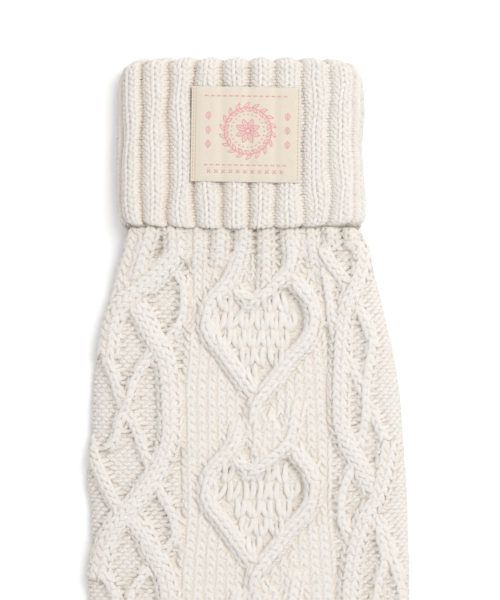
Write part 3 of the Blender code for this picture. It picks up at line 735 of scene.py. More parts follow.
def tubeRelief():
    # height over the plain knitted face, and the number of the strand on top
    raised, owner, ditch = raisedForms()
    u, v = tubeU[None, :], tubeV[:, None]
    left, right = edgesAt(panelEdges, v)
    leftPurl, rightPurl = cables["purlRecess"]
    purl = np.maximum(leftPurl * ease(0, 3, left - u), rightPurl * ease(0, 3, u - right))
    ground = -purl * ease(88, 100, v)
    for edge, (depth, width) in ((left, cables["leftGroove"]), (right, cables["rightGroove"])):
        ground = ground - depth * np.clip(1 - np.abs(u - edge) / width, 0, 1) ** 0.7
    ground = ground - cables["ribRecess"] * (1 - ease(95, 110, v)) - cables["ditchDepth"] * ditch
    for number in range(cables["hearts"]):
        here = v - heartStart(number)
        aside = (u - heartLobes(here)[1] + cables["hollowInset"]) / cables["hollowWidth"]
        span = ease(*cables["hollowFrom"], here) * (1 - ease(*cables["hollowTo"], here))
        ground = ground - cables["hollowDepth"] * np.exp(-(aside ** 2)) * span
    height = np.where(owner >= 0, np.maximum(raised, ground), ground)
    return height * ease(2, 14, tubeEnd - v), owner


def tubeCloth():
    height, owner = tubeRelief()
    smooth = blurred(height, 1)
    points = np.empty((len(tubeV), len(tubeU), 3))
    for i, along in enumerate(tubeV):
        x, z, outX, outZ = onLoop(tubeLoop(along), tubeU)
        smooth[i] *= ease(0.0, 0.7, outZ) * ease(81, 88, along)    # plain underneath and in the cuff
        points[i] = placed(x + smooth[i] * outX, along, z + smooth[i] * outZ)
    cloth = makeCloth(points, tubeU, tubeV)
    # painted shadow under the cuff, fading out over 8 mm below its lip
    inCuff = 1 - ease(0, 8, tubeV - garment["cuffLength"] + 0.5)[:, None]
    # painted shade in the hollows of the relief
    hollowShade = np.clip((blurred(smooth, 9) - smooth) * 0.22, 0, 0.6)
    low = smooth
    for shift in (-1, 1, -1, 1):
        low = np.minimum(low, np.roll(low, shift, axis=0))
        low = np.minimum(low, np.roll(low, shift, axis=1))
    return {
        **cloth, "height": smooth, "low": blurred(low, 1), "owner": owner,
        "paintedShade": np.maximum(hollowShade, 0.40 * inCuff),
    }


def ownerAt(cloth, u, v):
    step = tubeGrid["step"]
    i = np.clip(np.rint((v - tubeV[0]) / step).astype(int), 0, len(tubeV) - 1)
    j = np.clip(np.rint((u - tubeU[0]) / step).astype(int), 0, len(tubeU) - 1)
    return cloth["owner"][i, j]


bodyStitch = {
    "row": 4.2,
    "legLength": 1.50,       # of the row
    "slant": 0.34,           # radians off the wale
    "fatness": 1.01,         # 1 just fills the space beside the next leg
    "panelWales": 16,
    "tonguePitch": 4.9,
    "tongueRadius": 1.4,
    "shellSink": 0.60,       # how far the backing cloth lies under the stitches' cloth
    "thinBelow": 8.35,       # a strand narrower than this has one wale that rounds its sides
    # a bar of the purl ground: row, pitch across, length, radius and tilt, at the left and the right
    "purlLeft": (2.05, 4.5, 4.0, 1.42, -0.7),
    "purlRight": (1.85, 3.8, 3.5, 1.38, -1.3),
}

# places of the legs across a strand, as shares of half its width, by its number of wales, and
# the yarn's radius by the same share. 1 is a thin strand, whose outer legs turn down its sides.
legPlaces = {
    1: ((-0.98, -0.36, 0.36, 0.98), 0.38, 0.30),
    2: ((-0.79, -0.27, 0.27, 0.79), 0.29, 0.34),
    3: ((-0.86, -0.51, -0.17, 0.17, 0.51, 0.86), 0.205, 0.36),
}


def strandLegs(cloth, number, seed):
    # the stitch legs of one strand, only where it lies on top
    kind, width, wales, rows = strands[number]
    isRib = kind.startswith("rib")
    fine = np.arange(rows[0][0], rows[-1][0], 0.2)
    path = np.stack([through(rows, 1, fine), fine], axis=1)
    gone = np.concatenate([[0.0], np.cumsum(np.linalg.norm(np.diff(path, axis=0), axis=1))])
    pitch = bodyStitch["row"] * (0.80 if isRib else 1.0)
    at = np.arange(0.5 * pitch, gone[-1], pitch)
    where, tangent = (
        np.stack([np.interp(at, gone, values[:, k]) for k in (0, 1)], axis=1)
        for values in (path, np.gradient(path, axis=0))
    )
    tangent = unit(tangent)
    across = np.stack([tangent[:, 1], -tangent[:, 0]], axis=1)
    places, share, slant = legPlaces[1 if width < bodyStitch["thinBelow"] else wales]
    slant += 0.08 * isRib - 0.08 * (kind in ("leftLobe", "rightLobe"))
    legs = []
    for k, place in enumerate(places):
        steeper = slant * (0.55 if abs(place) > 0.7 else 1.1)
        aside, ahead, radius = leaning(
            1 - 2 * (k % 2), steeper, pitch * bodyStitch["legLength"], 0.5 * width * share, isRib)
        middle, vector = where + across * (0.5 * width * place), ahead * tangent + aside * across
        kept = ownerAt(cloth, middle[:, 0] * 0.985 + where[:, 0] * 0.015, middle[:, 1]) == number
        legs.append(yarnBatch(cloth, *middle[kept].T, *vector[kept].T, radius, seed * 10 + k))
    return legs


def panelLegs(cloth):
    # plain wales between the panel's edges, left out where a strand covers them
    rowsAt = np.arange(84, 386, bodyStitch["row"])
    left, right = edgesAt(panelEdges, rowsAt)
    left, right, wales = left + 0.8, right - 0.8, bodyStitch["panelWales"]
    batches = []
    for wale in range(wales):
        for lean in (1, -1):
            # the wales are wider towards the panel's edges
            share = (wale + 0.5 - 0.25 * lean) / wales
            u = left + (share + 0.022 * math.sin(2 * math.pi * share)) * (right - left)
            pitch = (1 + 0.138 * math.cos(2 * math.pi * share)) * (right - left) / wales
            aside, ahead, fat = leaning(
                lean, bodyStitch["slant"], bodyStitch["row"] * bodyStitch["legLength"],
                0.25 * bodyStitch["fatness"])
            kept = (ownerAt(cloth, u, rowsAt) == -1) & ~inHeart(u, rowsAt) & (rowsAt > 100)
            batches.append(yarnBatch(
                cloth, u[kept], rowsAt[kept], aside, ahead, (fat * pitch)[kept], 5000 + wale * 2 + lean,
                dips=(0.55, 0.30)))
    return batches


def inHeart(u, v):
    found = np.zeros(np.shape(u), bool)
    for number in range(cables["hearts"]):
        here = v - heartStart(number)
        left, right = heartLobes(here)
        found |= (here > bubbleArea["from"] - 12) & (here < bubbleArea["to"]) & (u > left) & (u < right)
    return found


def tongueLegs(cloth):
    batches = []
    for number in range(1, cables["hearts"]):
        rowsAt = np.arange(heartStart(number) + 3, heartStart(number) + 34, bodyStitch["row"])
        middle = 0.5 * sum(edgesAt(tongueRows, rowsAt - heartStart(number)))
        for wale in range(-3, 3):
            for lean in (1, -1):
                u = middle + (wale + 0.5 - 0.25 * lean) * bodyStitch["tonguePitch"]
                aside, ahead, radius = leaning(
                    lean, bodyStitch["slant"], bodyStitch["row"] * bodyStitch["legLength"],
                    bodyStitch["tongueRadius"])
                kept = ownerAt(cloth, u, rowsAt) == tongueOwner
                batches.append(yarnBatch(
                    cloth, u[kept], rowsAt[kept], aside, ahead, radius, 6000 + number * 20 + wale * 2 + lean))
    return batches


# each bubble is three legs that meet at its foot, round a small hole near its top:
# across, along, slope, length, bow, radius
bubbleShape = (
    (-1.6, 0.1, 1.3, 10.4, 0.11, 1.72), (1.6, 0.1, -1.3, 10.4, 0.11, 1.72), (0, 2.5, 0.15, 7, 0, 1.5),
)


def bubbleLegs(cloth):
    pitchU, pitchV = bubbleArea["pitch"]
    random = np.random.default_rng(41)
    centres = np.array([
        (pitchU * (column + 0.5 * (row % 2)) + bubbleArea["middle"], heartStart(number) + here, here)
        for number in range(cables["hearts"])
        for row, here in enumerate(bubbleArea["firstRow"] + pitchV * np.arange(bubbleArea["rows"]))
        for column in range(-6, 7)
    ])
    u, v, here = (centres + random.normal(0, bubbleArea["unevenness"], centres.shape) * (1, 1, 0)).T
    turn = random.normal(0, bubbleArea["turning"], len(u)) - 0.010 * (u - 4)    # fanned out a little
    left, right = heartLobes(here)
    room = 1.0 + bubbleArea["hollowRoom"] * (1 - ease(46, 56, here))
    kept = (here > bubbleArea["from"] - 8) & (here < bubbleArea["to"]) & (ownerAt(cloth, u, v) == -1)
    kept &= (u > left + 1.0) & (u < right - room)
    u, v, cos, sin = u[kept], v[kept], np.cos(turn[kept]), np.sin(turn[kept])
    return [
        yarnBatch(cloth, u + offU * cos - offV * sin, v + offU * sin + offV * cos,
                  du * cos - dv * sin, du * sin + dv * cos, radius, 7000 + k,
                  sink=0.05, bow=bow, dips=(0.65, 0.65))
        for k, (offU, offV, du, dv, bow, radius) in enumerate(bubbleShape)
    ]


def purlLegs(cloth, uFrom, uTo, bar, seed):
    # the heads and feet of purl stitches: short bars lying across, stepped by half a stitch
    row, pitch, length, radius, tilt = bar
    rowsAt = np.arange(86, 386, row)
    random = np.random.default_rng(seed)
    batches = []
    for parity in (0, 1):
        columns = np.arange(uFrom, uTo, pitch) + 0.5 * parity * pitch
        u, v = (a.ravel() for a in np.meshgrid(columns, rowsAt[parity::2]))
        left, right = edgesAt(panelEdges, v)
        bare = (ownerAt(cloth, u, v) == -1) | (sample(cloth, cloth["height"], u, v) < 0.8)
        purl = (u < left + 0.3) | (u > right - 0.3) | (v < 100) | inHeart(u, v)
        kept = bare & purl & (u > uFrom) & (u < uTo)
        u, v = u[kept], v[kept]
        lean = random.normal(tilt, 0.45, len(u))
        fuller = radius * (1 + 0.14 * (v < 106))    # close together between the ribs
        batches.append(yarnBatch(cloth, u, v, length, lean, fuller, seed + parity,
                                 sink=0.52 + 0.42 * inHeart(u, v), dips=(0.28, 0.28), rings=4))
    return batches


print("cloth of the tube")
tube = tubeCloth()


def tubeShell():
    # the cloth behind the stitches, a closed wall with a plain inside
    front = np.linspace(-90, 90, 121)
    rows = np.concatenate([[7.4, 30, 55, 70], np.arange(77, tubeEnd, 2), [tubeEnd]])
    outer, inner = [], []
    for along in rows:
        loop = tubeLoop(along)
        back = np.linspace(90, loop[2][-1] - 90, 14)[1:-1]
        x, z, outX, outZ = onLoop(loop, np.concatenate([front, back]))
        rise = np.zeros(len(x))
        rise[:len(front)] = sample(tube, tube["low"], front, np.full(len(front), along))
        rise = rise * ease(76, 80, along) - bodyStitch["shellSink"]
        outer.append(placed(x + rise * outX, along, z + rise * outZ))
    for along in rows[::-6]:
        loop = tubeLoop(along, garment["wall"])
        scale = loop[2][-1] / tubeLoop(along)[2][-1]
        x, z, _, _ = onLoop(loop, np.concatenate([front, back]) * scale)
        inner.append(placed(x, along, z))
    # a fixed painted shade over the backing cloth, less on its inside
    return wallObject("tubeCloth", outer + inner, [0.55] * len(outer) + [0.4] * len(inner))


def cablePieceOf(kind):
    if kind in heartStrands or kind.startswith("rib"):
        return "heartCableKnit"
    return "leftBraidKnit" if kind.startswith("left") else "rightBraidKnit"


def cableKnit():
    legs = {"leftBraidKnit": [], "heartCableKnit": [], "rightBraidKnit": []}
    for number, strand in enumerate(strands):
        legs[cablePieceOf(strand[0])] += strandLegs(tube, number, 100 + number)
    return [yarnObject(name, found) for name, found in legs.items()]


def purlKnit():
    leftBars = purlLegs(tube, -90, 3, bodyStitch["purlLeft"], 8000)
    rightBars = purlLegs(tube, 3, 91, bodyStitch["purlRight"], 8010)
    return yarnObject("purlGround", leftBars + rightBars, sides=6)


backStitch = {"halfWidth": 74, "inset": 4, "pitch": 5.8, "barLength": 4.8, "barRadius": 1.2}


def backCloth():
    # the flat underside of the tube
    u, v = np.arange(-backStitch["halfWidth"], backStitch["halfWidth"] + 0.1, 2), np.arange(84, 386.1, 2)
    left, right = (edge[:, None] for edge in edgesAt(tubeEdges, v))
    left, right = left + backStitch["inset"], right - backStitch["inset"]
    x = left + (u + backStitch["halfWidth"]) / (2 * backStitch["halfWidth"]) * (right - left)
    points = placed(x, v[:, None], through(tubeLift, 1, v)[:, None])
    down = np.broadcast_to((0.0, 0.0, -1.0), points.shape)
    return {"points": points, "normals": down, "u": u, "v": v, "paintedShade": np.zeros(points.shape[:2])}


def backKnit():
    cloth = backCloth()
    batches = []
    for shift in (0.0, 0.5):
        columns = np.arange(-72, 72, backStitch["pitch"]) + shift * backStitch["pitch"]
        rows = np.arange(86 + shift * bodyStitch["row"], 385, bodyStitch["row"])
        u, v = (a.ravel() for a in np.meshgrid(columns, rows))
        batches.append(yarnBatch(
            cloth, u, v, backStitch["barLength"], 0, backStitch["barRadius"], 8100 + 2 * shift,
            sink=0.9, bow=0, dips=(0.4, 0.4), rings=3))
    return yarnObject("backKnit", batches, sides=4)


tubePiece = tubeShell()
print("cable stitches")
tubeKnit = cableKnit()
print("panel, bubbles, purl ground and back")
tubeKnit += [
    yarnObject("panelKnit", panelLegs(tube) + tongueLegs(tube)),
    yarnObject("heartBubbles", bubbleLegs(tube)),
    purlKnit(),
    fuzzObject("tubeFuzz", tube, fuzz["tubeCount"], ((-86, 86), (87, 385)), 31),
    backKnit(),
]

# The turned-down cuff

cuff = {
    "ribs": 20,
    "roundGain": 10,         # what the rounding of its sides adds to the width of its face
    "usualPitch": 13.3,      # of a rib
    "ribShift": 0.3,
    "ribDepth": 4.3,
    "bow": 3.5,              # how far the lip turns up at its ends
    "lobe": 1.4,             # how far the lip rises in a valley
    "topLobe": 2.4,
    "wobble": 0.5,
    "foldRadius": 3.95,
    "lipRadius": 2.1,
    "row": 3.0,
    "shellSink": 0.75,
    # each leg: its middle from the rib's middle, how far it runs across and along, and its radius
    "legs": (
        (-3.45, 2.6, 4.1, 1.28), (-1.1, -1.3, 4.2, 1.15), (1.6, 2.8, 4.1, 1.28), (3.95, -1.4, 4.2, 1.25),
    ),
    "bar": (2.4, 1.05),      # length and radius of a purl bar in a valley
    "barPlaces": ((-1.5, 0.9), (-0.9, 1.5)),    # from the valley's middle, in even and odd rows
}

# how far the top edge falls away towards the sides: distance from the side, drop
cuffCorner = ((0, 15), (1.2, 9), (3.5, 5), (8, 2.6), (12.5, 1.7), (18, 1.1), (28, 0.6), (40, 0.4))
foldQuarter = 0.5 * math.pi * cuff["foldRadius"]    # from the fold's top to where the face is flat


def cuffDrop(x, along):
    left, right = edgesAt(cuffEdgeRows, along)
    inset = np.clip(np.minimum(x - left, right - x), 0, 40)
    return through(cuffCorner, 1, inset) * (1 - ease(0, 44, along))


def cuffPitch(along):
    left, right = edgesAt(cuffEdgeRows, along)
    return 2 * (right - left + cuff["roundGain"]) / cuff["ribs"]


def cuffPlace(way):
    # where a distance over the cloth lies, from the fold's top, down the face and round the lip at the
    # end: how far along, and how deep inside the face
    fold, lip = cuff["foldRadius"], cuff["lipRadius"]
    faceEnd = foldQuarter + garment["cuffLength"] - fold - lip
    if way < foldQuarter:
        angle = (foldQuarter - way) / fold
        return fold * (1 - math.sin(angle)), fold * (1 - math.cos(angle))
    if way <= faceEnd:
        return way - foldQuarter + fold, 0.0
    angle = (way - faceEnd) / lip
    return garment["cuffLength"] - lip + lip * math.sin(angle), lip * (1 - math.cos(angle))


def cuffPitches(ways):
    return np.array([cuffPitch(cuffPlace(way)[0]) for way in ways])


def cuffLoop(along, depth):
    return loopOf(edgesAt(cuffEdgeRows, along), 0, garment["cuffHeight"], depth)


def cuffAcross(loop, ribs):
    # the distance across at which a number of ribs from the middle lies
    return ribs / cuff["ribs"] * loop[2][-1] + cuff["ribShift"]


def ribCut(ribs, pitch):
    # how deep the cloth lies between two crowns, from 0 to 1, and the dip along a crown's middle
    off = np.abs(ribs - np.floor(ribs) - 0.5) * pitch
    return (off / (0.5 * pitch)) ** 3, 0.4 * (1 - ease(0, 1, off))


ribU = np.arange(-10, 10.001, 0.04)
cuffWayEnd = foldQuarter + garment["cuffLength"] - cuff["foldRadius"] + 0.5 * cuff["lipRadius"]
cuffV = np.arange(-6, cuffWayEnd, 0.5)


def cuffCloth():
    points = np.empty((len(cuffV), len(ribU), 3))
    paintedShade = np.empty((len(cuffV), len(ribU)))
    for i, way in enumerate(cuffV):
        along, depth = cuffPlace(way)
        loop = cuffLoop(along, depth)
        sway = np.sin(way / 8.5 + 1.9 * ribU) + 0.6 * np.sin(way / 4.1 + 3.1 * ribU)
        across = cuffAcross(loop, ribU) + cuff["wobble"] * sway * ease(4, 14, way)
        x, z, outX, outZ = onLoop(loop, across)
        valley, crown = ribCut(ribU, cuffPitch(along))
        shown = ease(-0.75, -0.1, outZ)
        shallow = 1 - 0.50 * ease(-15, 45, x)    # the ribs lie flatter towards the right
        cut = (cuff["ribDepth"] * valley * shallow + crown) * shown
        risen = (cuff["bow"] * ((x + 3) / 62) ** 2 + cuff["lobe"] * valley) * shown
        fold = math.sin(np.clip((foldQuarter - way) / cuff["foldRadius"], 0, 1.5))
        lowered = along + cuffDrop(x, along) + cuff["topLobe"] * valley * fold
        lowered = lowered - risen * ease(40, garment["cuffLength"], along)
        points[i] = placed(x - cut * outX, lowered, z - cut * outZ)
        # painted shade in the rib valleys, less where the ribs lie flatter
        paintedShade[i] = 0.85 * valley ** 1.2 * shallow
    return {**makeCloth(points, ribU, cuffV), "unit": cuff["usualPitch"], "paintedShade": paintedShade}


def cuffLegs(cloth, front):
    # front: the ribs seen from above; otherwise those that lie on the floor
    rowsAt = np.arange(-5.6, cuffWayEnd - 0.3, cuff["row"])
    pitch = cuffPitches(rowsAt)
    return [
        yarnBatch(cloth, rib + 0.5 + place / pitch, rowsAt, aside, ahead, radius * pitch / cuff["usualPitch"],
                  9000 + rib * 8 + k, sink=0.55, dips=(0.42, 0.42), rings=5 if front else 3)
        for rib in range(-10, 10) if (-6 <= rib < 6) == front
        for k, (place, aside, ahead, radius) in enumerate(cuff["legs"])
    ]


def cuffValleyLegs(cloth, front):
    # purl bars across the bottom of each valley
    rowsAt = np.arange(-2, cuffWayEnd - 0.5, 0.5 * cuff["row"])
    length, radius = cuff["bar"]
    batches = []
    for valley in range(-10, 10):
        if (-6 <= valley <= 6) != front:
            continue
        for parity in (0, 1):
            rows = rowsAt[parity::2]
            if abs(valley) > 4:
                rows = rows[(rows > 2) & (rows < cuffWayEnd - 4)]
            for place in cuff["barPlaces"][parity]:
                batches.append(yarnBatch(
                    cloth, valley + place / cuffPitches(rows), rows, length, 0, radius,
                    9500 + valley * 4 + parity, sink=0.40, bow=0, dips=(0.2, 0.2), rings=4 if front else 3))
    return batches


def cuffShell(cloth):
    faceRows = np.linspace(foldQuarter + 2, cuffWayEnd - 1, 44)
    columns = np.arange(-10, 9.99, 0.08)
    rows = np.concatenate([np.linspace(-5.8, foldQuarter, 9), faceRows])
    rings = sunkRings(cloth, columns, rows, cuff["shellSink"])
    lip = (garment["cuffLength"] - 1.4, 3.9)
    for along, depth in (lip, (60, 4.2), (30, 4.2), (8, 4.2), (6.5, 4.6), (7, 5.4)):
        loop = cuffLoop(along, depth)
        x, z, _, _ = onLoop(loop, cuffAcross(loop, columns))
        rings.append(placed(x, along + cuffDrop(x, along), z))
    # a fixed painted shade over the cuff's backing cloth
    return wallObject("cuffCloth", rings, 0.6)


print("cuff")
cuffFace = cuffCloth()
cuffPiece = cuffShell(cuffFace)
cuffKnit = [
    yarnObject("cuffRibKnit", cuffLegs(cuffFace, True), sides=6),
    yarnObject("cuffValleyKnit", cuffValleyLegs(cuffFace, True), sides=6),
    yarnObject("cuffBackKnit", cuffLegs(cuffFace, False) + cuffValleyLegs(cuffFace, False), sides=5),
    fuzzObject("cuffFuzz", cuffFace, fuzz["cuffCount"], ((-5.6, 5.6), (0, cuffWayEnd - 1)), 32),
]

# The ribbed hem

hem = {
    "ribs": 26,
    "usualPitch": 11.4,
    "ribDepth": 2.4,
    "row": 3.3,
    "legLength": 1.6,        # of the row
    "slant": 0.36,
    "legRadius": 1.2,
    "legPlaces": (-3.3, -1.15, 1.15, 3.3),
    "bar": (2.9, 0.9),       # length and radius of a purl bar in a valley
    "lipRadius": 1.8,
    "shellSink": 1.25,
    "wall": 4.0,
}
hemStart = tubeEnd + garment["seamGap"]
hemWayEnd = garment["length"] + 0.9 * hem["lipRadius"]
hemU = np.arange(-13, 13.001, 0.05)
hemV = np.arange(hemStart, hemWayEnd, 0.5)


def hemPlace(way):
    faceEnd = garment["length"] - hem["lipRadius"]
    if way <= faceEnd:
        return way, 0.0
    angle = (way - faceEnd) / hem["lipRadius"]
    return faceEnd + hem["lipRadius"] * math.sin(angle), hem["lipRadius"] * (1 - math.cos(angle))


def hemLoop(along, depth):
    return loopOf(edgesAt(hemEdges, along), 0, garment["hemHeight"], depth)


def hemCloth():
    points = np.empty((len(hemV), len(hemU), 3))
    paintedShade = np.empty((len(hemV), len(hemU)))
    for i, way in enumerate(hemV):
        along, depth = hemPlace(way)
        loop = hemLoop(along, depth)
        pitch = loop[2][-1] / hem["ribs"]
        x, z, outX, outZ = onLoop(loop, hemU * pitch)
        valley, crown = ribCut(hemU, pitch)
        cut = (hem["ribDepth"] * valley + crown) * ease(-0.75, -0.1, outZ)
        points[i] = placed(x - cut * outX, along, z - cut * outZ)
        # painted shade in the rib valleys
        paintedShade[i] = 0.5 * valley ** 1.5
    return {**makeCloth(points, hemU, hemV), "unit": hem["usualPitch"], "paintedShade": paintedShade}


def hemLegs(cloth):
    rowsAt = np.arange(hemStart + 1.6, hemWayEnd - 0.3, hem["row"])
    barsAt = np.arange(hemStart + 1, hemWayEnd - 0.5, 0.5 * hem["row"])
    barLength, barRadius = hem["bar"]
    batches = []
    for rib in range(-13, 13):
        for k, place in enumerate(hem["legPlaces"]):
            aside, ahead, radius = leaning(
                1 - 2 * (k % 2), hem["slant"], hem["row"] * hem["legLength"], hem["legRadius"])
            batches.append(yarnBatch(
                cloth, rib + 0.5 + place / hem["usualPitch"], rowsAt, aside, ahead, radius,
                12000 + rib * 8 + k, sink=0.55, rings=4))
        batches.append(yarnBatch(
            cloth, rib, barsAt, barLength, 0, barRadius, 12500 + rib,
            sink=0.30, bow=0, dips=(0.3, 0.3), rings=4))
    return batches


def hemShell(cloth):
    columns, rows = np.arange(-13, 12.99, 0.1), np.linspace(hemStart, hemWayEnd - 0.5, 18)
    rings = sunkRings(cloth, columns, rows, hem["shellSink"])
    for along in (garment["length"] - 1.2, 405, hemStart):
        loop = hemLoop(along, hem["wall"])
        x, z, _, _ = onLoop(loop, columns / hem["ribs"] * loop[2][-1])
        rings.append(placed(x, along, z))
    # a fixed painted shade over the hem's backing cloth
    return wallObject("hemCloth", rings, 0.55)


print("hem")
hemFace = hemCloth()
hemPiece = hemShell(hemFace)
hemKnit = [yarnObject("hemKnit", hemLegs(hemFace), sides=6)]

# The woven label: a flat sheet, with a raised line for its folded-under left edge and stitches down both
# sides

label = {
    "width": 54.2,
    "height": 47.2,
    "thick": 0.40,
    "middle": -1.1,
    "top": 15.45,
    "tilt": 0.017,
    "sag": 0.5,              # into the valleys between the ribs
    "lift": 0.10,
    "cloth": (0.705, 0.63, 0.525),
    "pink": (0.77, 0.38, 0.41),
    "cream": (0.66, 0.54, 0.42),
    "roughness": 0.55,
    "threadRoughness": 0.6,
}


def labelPoint(x, down, lift):
    # x from the label's middle, down from its top edge
    x, down = np.asarray(x, float), np.asarray(down, float)
    across = label["middle"] + x - label["tilt"] * (down - 0.5 * label["height"])
    along = label["top"] + down + label["tilt"] * x
    ribPhase = (across - cuff["ribShift"]) / cuffPitch(label["top"] + 0.5 * label["height"])
    off = np.abs(ribPhase - np.round(ribPhase)) * cuff["usualPitch"]
    edge = np.minimum(0.5 * label["width"] - np.abs(x), np.minimum(down, label["height"] - down))
    sag = label["sag"] * (1 - ease(0, 3.6, off)) + 0.25 * (1 - ease(0, 2, edge))
    return placed(across, along, garment["cuffHeight"] + label["lift"] - sag + lift)


def satinMaterial():
    material, tree, shader = newMaterial("satinLabel")
    twill = texture(tree, "ShaderNodeTexWave", scaledBy(tree, placeIn(tree), (-1.0, 1.0, 0.0)),
                    Scale=420.0, Distortion=0.6, Detail=1.5, wave_type="BANDS", bands_direction="DIAGONAL")
    threads = texture(tree, "ShaderNodeTexNoise", placeIn(tree), Scale=1500.0, Detail=2.0)
    weave = mathNode(tree, "MULTIPLY_ADD", twill, 0.7, mathNode(tree, "MULTIPLY", threads, 0.5))
    darker = tuple(c * 0.84 for c in label["cloth"])
    tree.links.new(mixColour(tree, weave, darker, label["cloth"]), shader.inputs["Base Color"])
    bumpNode(tree, shader, weave, 0.35, 0.0002)
    shader.inputs["Roughness"].default_value = label["roughness"]
    shader.inputs["Sheen Weight"].default_value = 0.15
    return material


def threadMaterial(name, colour):
    material, tree, shader = newMaterial(name)
    fibres = texture(tree, "ShaderNodeTexNoise", placeIn(tree), Scale=2200.0, Detail=2.0)
    darker = tuple(c * 0.88 for c in colour)
    tree.links.new(mixColour(tree, fibres, darker, colour), shader.inputs["Base Color"])
    bumpNode(tree, shader, fibres, 0.4, 0.0001)
    shader.inputs["Roughness"].default_value = label["threadRoughness"]
    return material


def labelSheet():
    # a thin slab with a rounded rim, as six layers from its underside up: inset of the rim, height
    rim = ((0.30, 0.0), (0.08, 0.06), (0.0, 0.3), (0.0, 0.55), (0.08, 0.94), (0.30, 1.0))
    columns, rows = 53, 47
    halfWidth, height = 0.5 * label["width"], label["height"]
    index = np.arange(rows * columns).reshape(rows, columns)
    border = np.concatenate([index[0, :-1], index[:-1, -1], index[-1, :0:-1], index[:0:-1, 0]])
    layers = []
    for inset, share in rim:
        x, down = np.meshgrid(
            np.linspace(inset - halfWidth, halfWidth - inset, columns),
            np.linspace(inset, height - inset, rows))
        layers.append(labelPoint(x.ravel(), down.ravel(), share * label["thick"]))
    # the first and the last layer are whole, those between them only a ring
    points = np.concatenate([layers[0], layers[-1], *(layer[border] for layer in layers[1:-1])])
    rimRings = 2 * index.size + np.arange(4 * len(border)).reshape(4, -1)
    rings = [border, *rimRings, index.size + border]
    faces = [np.stack([a, np.roll(a, -1), np.roll(b, -1), b], -1) for a, b in zip(rings, rings[1:])]
    corners = np.stack([index[:-1, :-1], index[:-1, 1:], index[1:, 1:], index[1:, :-1]], -1).reshape(-1, 4)
    faces += [corners, corners + index.size]
    return meshObject("labelCloth", points, np.concatenate(faces), satinMaterial(), None, True)


def stroke(points, width, lift, closed=False):
    # a thin raised thread line over the label, as its points and how many there are round it
    points = np.asarray(points, float)
    if closed:
        points = np.concatenate([points, points[:1]])
    tangent = unit(np.gradient(points, axis=0))
    if closed:
        tangent[0] = tangent[-1] = unit(tangent[0] + tangent[-1])
    across = width * np.stack([tangent[:, 1], -tangent[:, 0]], axis=1)
    rows = []
    for side, up in ((-0.5, -0.1), (-0.38, 0.75), (0.0, 1.0), (0.38, 0.75), (0.5, -0.1)):
        rows.append(labelPoint(*(points + across * side).T, label["thick"] + lift * up))
    return np.stack(rows, axis=1)


def strokesObject(name, strokes, material):
    cap = np.array([[0, 1, 2], [0, 2, 3], [0, 3, 4]])
    points, quads, triangles, start = [], [], [], 0
    for rows in strokes:
        count, size = rows.shape[:2]
        points.append(rows.reshape(-1, 3))
        quads.append(ringFaces(count, size, False) + start)
        triangles += [cap + start, cap[:, ::-1] + start + (count - 1) * size]
        start += count * size
    faces = (np.concatenate(quads), np.concatenate(triangles))
    return meshObject(name, np.concatenate(points), faces, material, None, True)


def toward(angle):
    return np.array([math.cos(angle), math.sin(angle)])


def arcPoints(centre, radius, last, count):
    return [centre + radius * toward(angle) for angle in np.radians(np.linspace(0, last, count))]


def leafPoints(root, direction, length, width):
    # a pointed leaf's outline
    ahead, aside = toward(direction), toward(direction + 0.5 * math.pi)
    t = np.linspace(0, 1, 9)[:, None]
    vein, bulge = root + ahead * length * t, aside * width * np.sin(math.pi * t)
    return np.concatenate([vein + bulge, (vein - bulge)[-2:0:-1]])


def dash(centre, half):
    # a short straight line through a point, from one end to the other
    return [np.subtract(centre, half), centre, np.add(centre, half)]


labelArt = {
    "centre": (1.0, 21.8),
    "stroke": 0.62,
    "lift": 0.16,
    "wreathRadius": 11.6,
    "wreathLeaves": 18,
    "leaf": (3.9, 0.62),     # length and half width
    "flowerPetals": 8,
    "petal": (5.0, 1.15),
    "dots": 24,
    "dotRadius": 8.2,
    "dashLines": (4.6, 38.8),
    "crossLine": 42.0,
    "sideLeaf": (3.6, 1.1),
    "sideLeafAt": (19.6, 14.5, 7.0),    # aside, first one down, step
}


def labelMotif():
    # a generic wreath of leaves round a small flower, between two rows of dashes and crosses
    art, centre = labelArt, np.array(labelArt["centre"])
    strokes = []

    def sew(points, closed=False, thin=1.0):
        strokes.append(stroke(points, art["stroke"] * thin, art["lift"], closed))

    sew(arcPoints(centre, art["wreathRadius"], 354, 60), True)
    for angle in 2 * math.pi * np.arange(art["wreathLeaves"]) / art["wreathLeaves"]:
        root = centre + art["wreathRadius"] * toward(angle)
        for turn in (0.95, math.pi - 0.95):
            sew(leafPoints(root, angle + turn, *art["leaf"]), True, 0.8)
    for angle in 2 * math.pi * (np.arange(art["flowerPetals"]) + 0.5) / art["flowerPetals"]:
        root = centre + 1.2 * toward(angle)
        sew(leafPoints(root, angle, *art["petal"]), True)
        sew([root + t * toward(angle) for t in (1.4, 2.4, 3.4)], False, 0.8)
    sew(arcPoints(centre, 1.0, 330, 12), True)
    for angle in 2 * math.pi * np.arange(art["dots"]) / art["dots"]:
        sew(dash(centre + art["dotRadius"] * toward(angle), (0.35, 0)))
    for down in art["dashLines"]:
        for x in np.arange(-19.5, 19.6, 3.0):
            sew(dash((x, down), (0.9, 0)))
    for x in np.arange(-18.0, 18.1, 3.6):
        for slope in (1, -1):
            sew(dash((x, art["crossLine"]), (0.8, 0.8 * slope)), False, 0.85)
    aside, first, step = art["sideLeafAt"]
    for side in (-1, 1):
        for row in range(3):
            x, y = centre[0] + side * aside, first + row * step
            sew(leafPoints((x, y + 1.8), -0.5 * math.pi, *art["sideLeaf"]), True, 0.85)
            sew(dash((x, y), (0, 0.8)), False, 0.85)
    return strokesObject("labelMotif", strokes, threadMaterial("pinkThread", label["pink"]))


